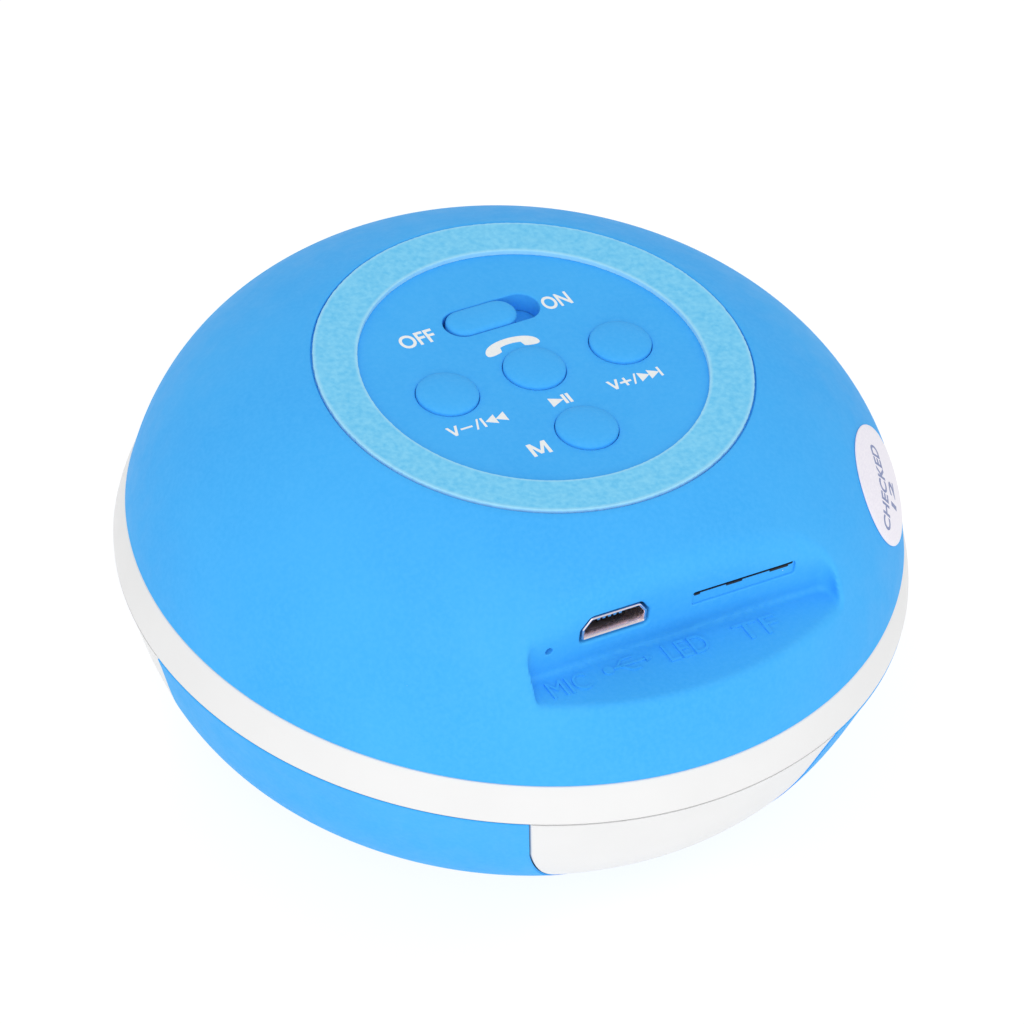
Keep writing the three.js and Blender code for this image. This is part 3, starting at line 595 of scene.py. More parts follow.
def linear(red, green, blue):
    """An sRGB colour of 0 to 255 as linear values."""
    shares = [value / 255 for value in (red, green, blue)]
    return tuple(s / 12.92 if s <= 0.04045 else ((s + 0.055) / 1.055) ** 2.4 for s in shares)


def dimmed(colour, factor):
    """A linear colour with every channel multiplied."""
    return tuple(channel * factor for channel in colour)


def painted_recess_shade(look, tone):
    """Painted shade: the paint darkened softly along the inner corner of the port recess, where shade falls,
    fading to its ends.
    """
    squeeze = (RECESS_PAINTED_SHADE["squeeze"], 1, 1)
    middle = (RECESS_PAINTED_SHADE["x"], RECESS["wall"], SEAM / MM + RECESS["floor"] + RECESS_PAINTED_SHADE["rise"])
    squeezed_middle = [place * factor * MM for place, factor in zip(middle, squeeze)]
    away = look.distance(look.scaled_place(squeeze), squeezed_middle)
    share = look.spread(away, 0, RECESS_PAINTED_SHADE["reach"] * MM, RECESS_PAINTED_SHADE["share"], 0)
    return look.mix(share, tone, BLUE_PAINTED_SHADE)


def soft_touch(name, base, light, dark, with_painted_shade=False):
    """Rubber-like paint over moulded plastic: matt, faintly grained, with a little dust, and on request
    painted shade in the recess corner.
    """
    look = Look(name, 0.62, Specular_IOR_Level=0.22)
    cloud = look.spread(look.noise(14), 0.35, 0.65)
    tone = look.mix(cloud, dark, base)
    grain = look.spread(look.noise(0.45, 3), 0.35, 0.7, 0, 0.5)
    tone = look.mix(grain, tone, light)
    # Painted shade along the recess's inner corner.
    if with_painted_shade:
        tone = painted_recess_shade(look, tone)
    dust = look.specks(4.5, 0.09, 0.22)
    look.colour(look.mix(dust, tone, linear(190, 226, 250)))
    look.roughness(look.spread(look.noise(2.2), 0.3, 0.7, 0.56, 0.7))
    look.bump(look.noise(0.22, 3), 0.02, 0.35)
    return look.material


def ring_rubber():
    """Pale blue sheet rubber with a papery grain, coloured paler towards its inner and outer edges."""
    look = Look("ring_rubber", 0.8, Specular_IOR_Level=0.25)
    grain = look.spread(look.noise(0.55, 4), 0.32, 0.68)
    tone = look.mix(grain, linear(103, 195, 240), linear(128, 210, 247))
    fibres = look.spread(look.noise(1.6, 5), 0.45, 0.75, 0, 0.35)
    tone = look.mix(fibres, tone, linear(140, 214, 245))
    away = look.distance(look.scaled_place((1, 1, 0)))
    outer = look.spread(away, (RING_OUTER - 0.45) * MM, (RING_OUTER - 0.1) * MM, 0, 0.6)
    inner = look.spread(away, (RING_INNER + 0.1) * MM, (RING_INNER + 0.4) * MM, 0.6, 0)
    for edge in (outer, inner):
        tone = look.mix(edge, tone, linear(172, 224, 247))
    look.colour(tone)
    look.bump(look.noise(0.3, 4), 0.05, 0.6)
    return look.material


def moulded(name, base, variation, roughness, grain_mm=0.5, metallic=0.0, bump_mm=0.01, **sockets):
    """A moulded, cast or drawn surface: two close tones, uneven gloss and a fine grain."""
    look = Look(name, roughness, metallic, **sockets)
    patches = look.spread(look.noise(grain_mm * 12, 3), 0.3, 0.7)
    look.colour(look.mix(patches, base, dimmed(base, 1 - variation)))
    shine = look.noise(grain_mm * 5, 2)
    look.roughness(look.spread(shine, 0.3, 0.7, roughness * 0.88, min(roughness * 1.14, 1)))
    look.bump(look.noise(grain_mm, 3), bump_mm, 0.4)
    return look.material


def printed_ink(name, base):
    """Pad-printed ink: slightly uneven cover and a faint edge of grain."""
    look = Look(name, 0.5)
    thin = look.spread(look.noise(0.25, 3), 0.3, 0.75, 0, 0.5)
    look.colour(look.mix(thin, base, dimmed(base, 0.86)))
    look.bump(look.noise(0.12, 2), 0.005, 0.3)
    return look.material


def sticker_paper():
    """Coated paper: near white with a faint lilac cast and fine fibres."""
    look = Look("sticker_paper", 0.42, Coat_Weight=0.25, Coat_Roughness=0.3)
    fibres = look.spread(look.noise(0.4, 5, stretch=(1, 1, 3)), 0.3, 0.7)
    look.colour(look.mix(fibres, linear(244, 240, 249), linear(234, 230, 242)))
    look.bump(look.noise(0.18, 3), 0.006, 0.4)
    return look.material


def brushed_steel(name, base, roughness):
    """Rolled steel: fine scratches that run along X."""
    look = Look(name, roughness, 1.0)
    scratches = look.noise(0.9, 4, stretch=(0.08, 1, 1))
    look.colour(look.mix(look.spread(scratches, 0.3, 0.7), base, dimmed(base, 0.82)))
    look.roughness(look.spread(scratches, 0.3, 0.7, roughness * 0.75, roughness * 1.25))
    look.bump(scratches, 0.004, 0.3)
    return look.material


def cloth_weave(name, base):
    """A coarse resin-stiffened weave, for the spider."""
    look = Look(name, 0.85)
    weave = look.add("ShaderNodeTexChecker")
    look.wire(weave, Vector=look.place, Scale=1 / (0.35 * MM))
    look.colour(look.mix(weave.outputs["Fac"], base, dimmed(base, 0.7)))
    look.bump(weave.outputs["Fac"], 0.05, 0.5)
    return look.material


BLUE = linear(65, 175, 247)
BLUE_LIGHT = linear(76, 181, 250)
BLUE_DARK = linear(60, 171, 245)
# The colour of the painted shade in the recess's inner corner.
BLUE_PAINTED_SHADE = linear(42, 142, 215)
BLUE_TONES = (BLUE, BLUE_LIGHT, BLUE_DARK)

LOOKS = {
    "soft_blue": soft_touch("soft_blue", *BLUE_TONES),
    "ring_rubber": ring_rubber(),
    "sticker_paper": sticker_paper(),
    "white_plastic": moulded("white_plastic", (0.8, 0.8, 0.8), 0.03, 0.36, 0.8, bump_mm=0.006),
    "seal_rubber": moulded("seal_rubber", (0.62, 0.66, 0.68), 0.1, 0.7),
    "grille_metal": moulded("grille_metal", (0.8, 0.81, 0.83), 0.05, 0.4, 0.4),
    "foam": moulded("foam", (0.03, 0.032, 0.036), 0.4, 0.95, 0.6, bump_mm=0.2),
    "steel": brushed_steel("steel", (0.66, 0.66, 0.67), 0.3),
    "black_rubber": moulded("black_rubber", (0.018, 0.018, 0.02), 0.3, 0.72, 0.4),
    "cone_paper": moulded("cone_paper", (0.03, 0.03, 0.033), 0.35, 0.88, 0.5, bump_mm=0.08),
    "copper_wire": brushed_steel("copper_wire", (0.78, 0.36, 0.16), 0.35),
    "spider_cloth": cloth_weave("spider_cloth", (0.5, 0.25, 0.06)),
    "ferrite": moulded("ferrite", (0.045, 0.045, 0.05), 0.3, 0.7, 0.9, bump_mm=0.05),
    "circuit_board": moulded("circuit_board", (0.012, 0.13, 0.045), 0.25, 0.42, 0.7, Coat_Weight=0.4),
    "black_plastic": moulded("black_plastic", (0.016, 0.016, 0.018), 0.3, 0.5, 0.5),
    "led_lens": moulded("led_lens", (0.8, 0.88, 0.95), 0.05, 0.15, 0.5, Coat_Weight=0.6),
    "battery_wrap": moulded("battery_wrap", (0.4, 0.44, 0.5), 0.08, 0.4, 1.2, metallic=0.4),
    "lead_red": moulded("lead_red", (0.55, 0.03, 0.025), 0.15, 0.45, 0.4),
    "lead_black": moulded("lead_black", (0.014, 0.014, 0.016), 0.3, 0.45, 0.4),
}
# The dome's paint, with painted shade along the recess's inner corner.
DOME_PAINT_WITH_PAINTED_SHADE = soft_touch("dome_paint_with_painted_shade", *BLUE_TONES, with_painted_shade=True)
LEGEND_INK = printed_ink("legend_ink", linear(240, 243, 243))
STICKER_INK = printed_ink("sticker_ink", linear(128, 140, 184))
USB_STEEL = brushed_steel("usb_steel", (0.95, 0.84, 0.85), 0.25)


def dress_cad_nodes():
    """Gives every CAD node the material of the record slot that it belongs to."""
    for entry in frame["record"]["subparts"]:
        slots = frame["nodes"][entry["node"]].data.materials
        slots.clear()
        slots.append(LOOKS[entry["material_slot"]])


# ---- Upper shell ----


def turned_distance(points, curve):
    """About how far points lie outside a turned curve of rising (radius, height) pairs."""
    slope = np.gradient(curve[:, 0], curve[:, 1])
    line = np.interp(points[:, 2], curve[:, 1], curve[:, 0])
    lean = np.interp(points[:, 2], curve[:, 1], 1 / np.sqrt(1 + slope**2))
    return (np.hypot(points[:, 0], points[:, 1]) - line) * lean


def rounded_pair(across, along):
    """Distance outside the corner where two faces meet, measured round the corner."""
    outside = np.hypot(np.maximum(across, 0), np.maximum(along, 0))
    return outside + np.minimum(np.maximum(across, along), 0)


def recess_span():
    """The middle of the recess in X, and half its width."""
    return (RECESS["left"] + RECESS["right"]) / 2, (RECESS["right"] - RECESS["left"]) / 2


def recess_distance(points):
    """How far points lie outside the recess's space: less than zero inside it."""
    x, y, z = points.T
    middle, half = recess_span()
    beside = np.abs(x - middle) - half + RECESS_CORNER
    behind = y - RECESS["wall"] + RECESS_CORNER
    plan = rounded_pair(beside, behind) - RECESS_CORNER
    under = RECESS["floor"] - z
    return rounded_pair(plan + RECESS_FILLET, under + RECESS_FILLET) - RECESS_FILLET


def recessed(curve, jacket, sharp, soft):
    """The field that is zero on a turned curve with the recess, and a jacket round it, taken out.

    The edge where they meet is rounded: softly over the back wall, sharply at the floor and ends.
    """
    middle, half = recess_span()

    def field(points):
        """How far points lie outside the recessed body."""
        above = points[:, 2] - RECESS["floor"]
        inwards = half - np.abs(points[:, 0] - middle)
        rise = np.clip((above - RECESS_SOFT_RISE[0]) / RECESS_SOFT_RISE[1], 0, 1)
        from_end = np.clip((inwards - RECESS_SOFT_END[0]) / RECESS_SOFT_END[1], 0, 1)
        blend = sharp + (soft - sharp) * rise * from_end
        body = turned_distance(points, curve)
        hollow = jacket - recess_distance(points)
        near = np.maximum(blend - np.abs(body - hollow), 0) / blend
        return np.maximum(body, hollow) + near**2 * blend / 4

    return field


def onto_surface(points, field, rounds=2):
    """Points moved to where the field is zero, down its slope."""
    shifts = np.eye(3) * SLOPE_STEP
    for _ in range(rounds):
        here = field(points)
        slope = np.stack([(field(points + shift) - here) / SLOPE_STEP for shift in shifts], axis=1)
        points = points - (here / (slope**2).sum(axis=1).clip(0.05))[:, None] * slope
    return points


def pressed_in(block, field, relax_rounds):
    """A grid of points on the shell, pushed into the recess and then spread evenly over it.

    Each point first moves in and down until it meets the surface. Then it goes, round by round, half
    way to the middle of its four neighbours and back onto the surface.
    """
    shape = block.shape
    points = block.reshape(-1, 3).copy()
    heading = np.array((0, 1, -1)) / math.sqrt(2) * PRESS_STEP
    moving = np.full(len(points), True)
    for _ in range(PRESS_STEPS):
        moving &= field(points) > SURFACE_NEAR
        points[moving] += heading
    block = onto_surface(points, field).reshape(shape)
    for _ in range(relax_rounds):
        middle = (block[:-2, 1:-1] + block[2:, 1:-1] + block[1:-1, :-2] + block[1:-1, 2:]) / 4
        block[1:-1, 1:-1] = (block[1:-1, 1:-1] + middle) / 2
        inner = block[1:-1, 1:-1]
        block[1:-1, 1:-1] = onto_surface(inner.reshape(-1, 3), field, 1).reshape(inner.shape)
    return block


def stepped(low, high, size):
    """Even steps of about the given size between two values."""
    return np.linspace(low, high, max(2, round(abs(high - low) / size) + 1))


def heights_on(curve, heights):
    """(radius, height) pairs of a rising curve at the given heights."""
    return np.column_stack([np.interp(heights, curve[:, 1], curve[:, 0]), heights])


def shell_profile():
    """The shell's closed profile, and the ranges of its rows that cross the recess."""
    low, high = RECESS_ROWS
    panel = [(r, PANEL_TOP) for r in np.linspace(0, DOME_TOP_RADIUS - 0.4, 12)]
    step_up = filleted([
        (DOME_TOP_RADIUS, PANEL_TOP),
        (DOME_TOP_RADIUS, DOME_TOP, 0.15),
        (DOME_TOP_RADIUS + 1, DOME_TOP - 0.25),
    ], 3)[:-1]
    crown = heights_on(dome_curve, stepped(DOME_TOP - 0.3, high, ROW_STEP["crown"]))
    front = heights_on(dome_curve, stepped(high, low, ROW_STEP["front"]))[1:]
    side = heights_on(dome_curve, stepped(low, DOME_LIP + 0.1, ROW_STEP["side"]))[1:]
    lip = arc((DOME_RADIUS - DOME_LIP, DOME_LIP), DOME_LIP, 0, -90, 5)
    inside_foot = low - INSIDE_ROWS_BELOW
    inside_low = heights_on(dome_inner_curve, stepped(0.02, inside_foot, ROW_STEP["inside_low"]))
    inside = heights_on(dome_inner_curve, stepped(inside_foot, INSIDE_ROWS_TOP, ROW_STEP["inside"]))[1:]
    ceiling = [(r, PANEL_BOTTOM) for r in np.linspace(DOME_INNER[2][0] - 0.5, 0, 6)]
    parts = [panel, step_up, crown, front, side, lip, inside_low, inside, ceiling]
    ends = np.cumsum([len(part) for part in parts])
    return np.vstack(parts), (ends[2] - 1, ends[3]), (ends[6] - 1, ends[7])


def shell_columns():
    """Azimuths round the shell in degrees, close together across the recess."""
    low, high = RECESS_SECTOR
    fine = np.degrees(RECESS_COLUMN / DOME_RADIUS)
    across = np.arange(low, high, fine)
    rest = np.linspace(high, low + 360, round((360 - (high - low)) / COARSE_COLUMN_DEGREES), endpoint=False)
    return np.concatenate([across, rest]), len(across)


def port_place(outline, depth):
    """Puts an X and Z outline into the recess wall, at a depth behind its face."""
    return upright(outline, RECESS["wall"] + depth)


def panel_place(outline, depth):
    """Puts an X and Y outline into the control panel, at a depth below its face."""
    return level(outline, PANEL_TOP - depth)


def usb_outline(grow=0.0):
    """The mouth of a micro-USB socket: a bar with its two upper corners cut away."""
    wide, narrow, height = USB["wide"] / 2, USB["narrow"] / 2, USB["height"] / 2
    outline = filleted([
        (USB["x"] - wide, USB["z"] - height, 0.35),
        (USB["x"] + wide, USB["z"] - height, 0.35),
        (USB["x"] + wide, USB["z"] + 0.15, 0.4),
        (USB["x"] + narrow, USB["z"] + height, 0.5),
        (USB["x"] - narrow, USB["z"] + height, 0.5),
        (USB["x"] - wide, USB["z"] + 0.15, 0.4),
    ])
    return grown(outline, grow)


def bar_outline(x, width, low, high, corner):
    """A rectangle about a middle X, with rounded corners."""
    left, right = x - width / 2, x + width / 2
    places = [(left, low), (right, low), (right, high), (left, high)]
    return filleted([(*place, corner) for place in places], 3)


def port_tools():
    """Cutters for the socket mouth, the card relief, slit and notches, and the microphone hole."""
    behind = RECESS_JACKET + PORT_HOLE_REACH
    mic = circle(MIC["x"], MIC["z"], MIC["radius"], 24)

    def slit_place(outline, depth):
        """Puts an outline at a depth behind the bottom of the card relief."""
        return port_place(outline, CARD_RELIEF_DEPTH + depth)

    def port_tool(name, outline, inside):
        """A cutter that starts in front of the recess wall."""
        return hole_tool(f"{name}_tool", outline, PORT_MOUTH[name], port_place, TOOL_OUTSIDE, inside)

    slit = bar_outline(**CARD_SLIT)
    tools = [
        port_tool("usb", usb_outline(USB_GAP), behind),
        port_tool("mic", mic, behind),
        hole_tool("slit_tool", slit, PORT_MOUTH["slit"], slit_place, 0.05, behind),
    ]
    notches = []
    for x, width in CARD_NOTCHES:
        notch = bar_outline(x, width, **CARD_NOTCH)
        notches.append(hole_tool("notch_tool", notch, PORT_MOUTH["notch"], slit_place, 0.02, behind))
    relief_tool = port_tool("relief", bar_outline(**CARD_RELIEF), CARD_RELIEF_DEPTH)
    return [relief_tool, joined("port_tools", tools), joined("notch_tools", notches)]


def key_place(key):
    """The middle of a key in plan."""
    low, high = corners(f"{key}_button")
    return (low.x + high.x) / 2 + KEY_SHIFT[0], (low.y + high.y) / 2 + KEY_SHIFT[1]


def panel_tools():
    """Cutters for the four key wells and the slider's slot."""
    tools = []
    for key in KEYS:
        outline = circle(*key_place(key), KEY_RADIUS + KEY_CLEARANCE, 72)
        tools.append(hole_tool("key_tool", outline, KEY_MOUTH, panel_place, TOOL_OUTSIDE, PANEL_TOOL_DEPTH))
    slot = stadium(**SLIDER_SLOT, count=25)
    tools.append(hole_tool("slot_tool", slot, SLOT_MOUTH, panel_place, TOOL_OUTSIDE, PANEL_TOOL_DEPTH))
    return joined("panel_tool", tools)


def upper_shell():
    """The dome with its port recess, and the holes for ports, keys and slider."""
    profile, front_rows, inside_rows = shell_profile()
    columns, fine = shell_columns()
    angles = np.radians(columns)
    radius, height = profile.T
    grid = np.stack([
        np.outer(np.cos(angles), radius),
        np.outer(np.sin(angles), radius),
        np.broadcast_to(height, (len(angles), len(height))),
    ], axis=2)
    outside = recessed(dome_curve, 0, RECESS_EDGE_SHARP, RECESS_EDGE_SOFT)
    inside = recessed(dome_inner_curve, RECESS_JACKET, 1.0, 1.0)
    for rows, field, side in ((front_rows, outside, "outside"), (inside_rows, inside, "inside")):
        block = grid[: fine + 1, rows[0] : rows[1]]
        grid[: fine + 1, rows[0] : rows[1]] = pressed_in(block, field, RELAX_ROUNDS[side])
    shell = solid("dome_shell", grid.reshape(-1, 3), grid_faces(*grid.shape[:2]))
    for tool in [*port_tools(), panel_tools()]:
        combine(shell, tool)
    finished(shell, HOUSING, "soft_blue", "upper_shell", look=DOME_PAINT_WITH_PAINTED_SHADE)


def anti_slip_ring():
    """The ring of sheet rubber, whose two cut edges are a little uneven."""
    profile = filleted([
        (RING_INNER, PANEL_TOP + RING_SEAT),
        (RING_OUTER, PANEL_TOP + RING_SEAT),
        (RING_OUTER, RING_TOP, RING_EDGE),
        (RING_INNER, RING_TOP, RING_EDGE),
    ])
    ring = lathe("ring_sheet", profile, RING_TURN_STEPS)
    rough = np.random.default_rng(7)
    uneven = {}
    for vertex in ring.data.vertices:
        away = math.hypot(vertex.co.x, vertex.co.y)
        turn = round(math.atan2(vertex.co.y, vertex.co.x) * RING_TURN_STEPS / (2 * math.pi))
        if turn not in uneven:
            uneven[turn] = rough.normal(0, RING_ROUGHNESS * MM)
        on_outer = away > (RING_OUTER - RING_EDGE_REACH) * MM
        on_inner = away < (RING_INNER + RING_EDGE_REACH) * MM
        edge = 1 if on_outer else RING_INNER_SHARE if on_inner else 0
        vertex.co.x *= 1 - abs(uneven[turn]) * edge / away
        vertex.co.y *= 1 - abs(uneven[turn]) * edge / away
    finished(ring, HOUSING, "ring_rubber", "anti_slip_ring")


# ---- Keys and slider ----


def key_caps():
    """Four soft caps, each a low dome over a flange and a stem."""
    stem_bottom = corners("play_button")[0].z
    share = np.sin(np.linspace(0, math.pi / 2, 15)) ** 0.8
    rise = (1 - share**KEY_CROWN_POWER) ** (1 / KEY_CROWN_POWER)
    crown = np.column_stack([KEY_RADIUS * share, KEY_SHOULDER + (KEY_TOP - KEY_SHOULDER) * rise])
    lower = filleted([
        (0, stem_bottom),
        (KEY_STEM, stem_bottom, 0.15),
        (KEY_STEM, KEY_FLANGE["bottom"]),
        (KEY_FLANGE["radius"], KEY_FLANGE["bottom"], 0.1),
        (KEY_FLANGE["radius"], KEY_FLANGE["top"], 0.1),
        (KEY_RADIUS, KEY_FLANGE["top"], 0.15),
        (KEY_RADIUS, KEY_SHOULDER),
        (0, KEY_TOP),
    ])[:-2]
    profile = np.vstack([lower, crown[::-1]])
    for key, body in KEYS.items():
        cap = lathe(f"{key}_cap", profile, SMALL_TURN_STEPS)
        cap.data.transform(Matrix.Translation(Vector((*key_place(key), 0)) * MM))
        finished(cap, body, "soft_blue", f"{key}_button")


def power_knob():
    """A pill-shaped grip on the plate that slides under the panel."""
    low, high = corners("power_knob")
    top, rounding = KNOB_TOP, KNOB_ROUNDING
    y = SLIDER_SLOT["y"]
    grip = stadium(KNOB["x"], y, KNOB["length"], KNOB["width"], 21)
    rings = [level(grip, KNOB_PLATE_TOP - 0.3), level(grip, top - rounding)]
    for angle in np.radians((15, 30, 45, 60, 75)):
        inset = rounding * KNOB_ROUNDING_SPREAD * (1 - math.cos(angle))
        drop = rounding * (1 - KNOB_ROUNDING_RISE * math.sin(angle))
        rings.append(level(grown(grip, -inset), top - drop))
    rings += [level(grown(grip, -inset), top - drop) for inset, drop in KNOB_CROWN]
    knob = loft("knob_grip", rings)
    plate_outline = bar_outline((low.x + high.x) / 2, high.x - low.x, low.y, high.y, 1)
    plate = loft("knob_plate", [level(plate_outline, low.z), level(plate_outline, KNOB_PLATE_TOP)])
    combine(knob, plate, "UNION")
    half, depth = KNOB_SOCKET["half"], KNOB_SOCKET["depth"]
    socket = bar_outline(KNOB["x"], KNOB_SOCKET["width"], y - half, y + half, KNOB_SOCKET["corner"])
    combine(knob, loft("lever_socket", [level(socket, low.z - 1), level(socket, low.z + depth)]))
    finished(knob, "power_slider", "soft_blue", "power_knob")


# ---- Band, lower shell and cover ----


def mid_band():
    """The white ring, whose crown meets the dome, with a groove for the seal and a spigot."""
    groove = SEAL_GROOVE
    crown = bezier([(BAND_RADIUS, BAND_BOTTOM), BAND_CROWN, (BAND_TOP_RADIUS, 0)], 17)
    outline = [(BAND_INNER, BAND_BOTTOM, 0.1), (BAND_RADIUS, BAND_BOTTOM, 0.2)]
    outline += [tuple(point) for point in crown[2:-1]]
    outline += [
        (BAND_TOP_RADIUS, 0, 0.2),
        (groove["outer"], 0),
        (groove["outer"], -groove["depth"]),
        (groove["inner"], -groove["depth"]),
        (groove["inner"], 0),
        (BAND_SPIGOT, 0),
        (BAND_SPIGOT, BAND_SPIGOT_TOP, 0.15),
        (BAND_INNER, BAND_SPIGOT_TOP, 0.15),
    ]
    band = lathe("white_band", filleted(outline))
    finished(band, HOUSING, "white_plastic", "mid_band")


def tongue_outline():
    """One tongue as seen from the front: a tapering U with large lower corners."""
    half = TONGUE_HALF
    slope = (half["top"] - half["shoulder"]) / (BOWL_TOP - TONGUE_SHOULDER)
    top = BOWL_TOP + TONGUE_RUN_UP
    reach = half["top"] + TONGUE_RUN_UP * slope
    side = np.linspace((reach, top), (half["shoulder"], TONGUE_SHOULDER), 15)[:-1]
    bend = [(half["shoulder"], TONGUE_SHOULDER), (half["bend"], TONGUE_BOTTOM), (half["flat"], TONGUE_BOTTOM)]
    right = np.vstack([side, bezier(bend, 21)])
    middle = np.linspace((half["flat"], TONGUE_BOTTOM), (-half["flat"], TONGUE_BOTTOM), 15)[1:-1]
    left = right[::-1] * (-1, 1)
    over = np.linspace(left[-1], right[0], 25)[1:-1]
    return anticlockwise(np.vstack([right, middle, left, over]))


def on_bowl(outline, depth):
    """An X and Z outline wrapped onto the front of the bowl, at a depth below its surface."""
    rising = bowl_curve[::-1]
    radius = np.interp(outline[:, 1], rising[:, 1], rising[:, 0]) - depth
    y = -np.sqrt(radius**2 - outline[:, 0] ** 2)
    return np.column_stack([outline[:, 0], y, outline[:, 1]])


def tongue_tool(name, gap, edge):
    """A prism through the wall at each tongue, whose edge flares (or, with a minus, narrows) outwards."""
    outline = grown(tongue_outline(), gap)
    sign = math.copysign(1, edge)
    tools = []
    for turn in TONGUE_TURNS:
        rings = [upright(grown(outline, edge), TONGUE_TOOL["outside"])]
        for growth, depth in rounded_entry(abs(edge)):
            rings.append(on_bowl(grown(outline, sign * growth), TONGUE_DEPTH + depth))
        rings.append(upright(outline, TONGUE_TOOL["inside"]))
        tool = loft(name, rings)
        tool.data.transform(Matrix.Rotation(math.radians(turn), 4, "Z"))
        tools.append(tool)
    return joined(name, tools)


def lower_cover():
    """The blue cover, with a notch for each tongue."""
    outer, inner = bowl_inset(0, 64), bowl_inset(COVER_WALL, 40)
    outline = [(*outer[0], 0.25), *map(tuple, outer[1:-1]), (*outer[-1], 0.3)]
    outline += [(*inner[-1], 0.3), *map(tuple, inner[-2::-1])]
    cover = lathe("blue_cover", filleted(outline))
    combine(cover, tongue_tool("cover_notch", TONGUE_GAP, TONGUE_EDGE))
    finished(cover, HOUSING, "soft_blue", "lower_cover")


def rod(name, x, y, radius, bottom, top):
    """An upright cylinder."""
    outline = circle(x, y, radius, 32)
    return loft(name, [level(outline, bottom), level(outline, top)])


def seam_screw_places():
    """The axes of the three screws that hold the halves together."""
    angles = np.radians(SEAM_SCREW_ANGLES)
    return [(SEAM_SCREW_REACH * math.cos(a), SEAM_SCREW_REACH * math.sin(a)) for a in angles]


def lower_shell():
    """The inner bowl with its screw bosses, and the three tongues that show through the cover."""
    outer = bowl_inset(LOWER_SHELL_INSET, 40)
    inner = bowl_inset(LOWER_SHELL_INSET + LOWER_SHELL_WALL, 40)
    base = outer[-1][1]
    profile = [*outer, (SOUND_OPENING, base), (SOUND_OPENING, BASE_TOP), *inner[::-1]]
    shell = lathe("white_bowl", profile)
    skin_inside = bowl_inset(LOWER_SHELL_INSET + TONGUE_SKIN_OVERLAP, 64)
    skin = lathe("tongue_skin", [*bowl_inset(TONGUE_DEPTH, 64), *skin_inside[::-1]])
    combine(skin, tongue_tool("tongue_shape", 0, -TONGUE_EDGE), "INTERSECT")
    combine(shell, skin, "UNION")
    for x, y in seam_screw_places():
        boss_foot = SEAM_HEAD_SEAT - SEAM_BOSS_BELOW_SEAT
        combine(shell, rod("boss", x, y, SEAM_BOSS, boss_foot, SEAM_BOSS_TOP), "UNION")
        combine(shell, rod("head_bore", x, y, SEAM_HEAD_BORE, base - 2, SEAM_HEAD_SEAT))
    finished(shell, HOUSING, "white_plastic", "lower_shell")


# ---- Sound side ----


def grille_bezel():
    """The ring that holds the grille and that the speaker rests on."""
    cover_line = BOWL_RIM - 0.05
    spigot_top = corners("grille_bezel")[1].z
    bezel = lathe("bezel_ring", filleted([
        (BEZEL_INNER, BEZEL_REST, 0.3),
        (BEZEL_OUTER, BEZEL_REST, 0.45),
        (BEZEL_OUTER, cover_line, 0.1),
        (BEZEL_SPIGOT_OUTER, cover_line),
        (BEZEL_SPIGOT_OUTER, spigot_top, 0.15),
        (BEZEL_SPIGOT_INNER, spigot_top, 0.15),
        (BEZEL_SPIGOT_INNER, BEZEL_LEDGE),
        (BEZEL_INNER, BEZEL_LEDGE, 0.1),
    ]))
    finished(bezel, HOUSING, "white_plastic", "grille_bezel")


def grille_holes():
    """Hole centres of a staggered pattern that stays inside the plain rim."""
    row_pitch = GRILLE_PITCH * math.sqrt(0.75)
    rows = math.ceil(GRILLE_REACH / row_pitch)
    places = []
    for row in range(-rows, rows + 1):
        for column in range(-rows - 2, rows + 3):
            x, y = (column + row % 2 / 2) * GRILLE_PITCH, row * row_pitch
            if math.hypot(x, y) <= GRILLE_REACH:
                places.append((x, y))
    return places


def filled_outlines(name, outlines, thickness):
    """A flat sheet from an outer outline and its holes, from height 0 up to the thickness."""
    curve = bpy.data.curves.new(name, "CURVE")
    curve.dimensions = "2D"
    curve.fill_mode = "BOTH"
    curve.extrude = thickness * MM / 2
    for outline in outlines:
        spline = curve.splines.new("POLY")
        spline.points.add(len(outline) - 1)
        flat = np.column_stack([outline * MM, np.zeros(len(outline)), np.ones(len(outline))])
        spline.points.foreach_set("co", flat.ravel())
        spline.use_cyclic_u = True
    return curve_mesh(name, curve, (0, 0, thickness * MM / 2))


def curve_mesh(name, curve, shift):
    """The mesh object of a curve or text, moved by a shift in metres."""
    source = linked(name, curve)
    mesh = current_mesh(source)
    bpy.data.objects.remove(source)
    mesh.transform(Matrix.Translation(shift))
    return welded(name, mesh)


def speaker_grille():
    """A perforated steel disc."""
    outlines = [circle(0, 0, GRILLE_RADIUS, 160)]
    outlines += [circle(x, y, GRILLE_HOLE, 14) for x, y in grille_holes()]
    grille = filled_outlines("perforated_grille", outlines, GRILLE_HIGH - GRILLE_LOW)
    grille.data.transform(Matrix.Translation((0, 0, SEAM + GRILLE_LOW * MM)))
    finished(grille, HOUSING, "grille_metal", "speaker_grille")


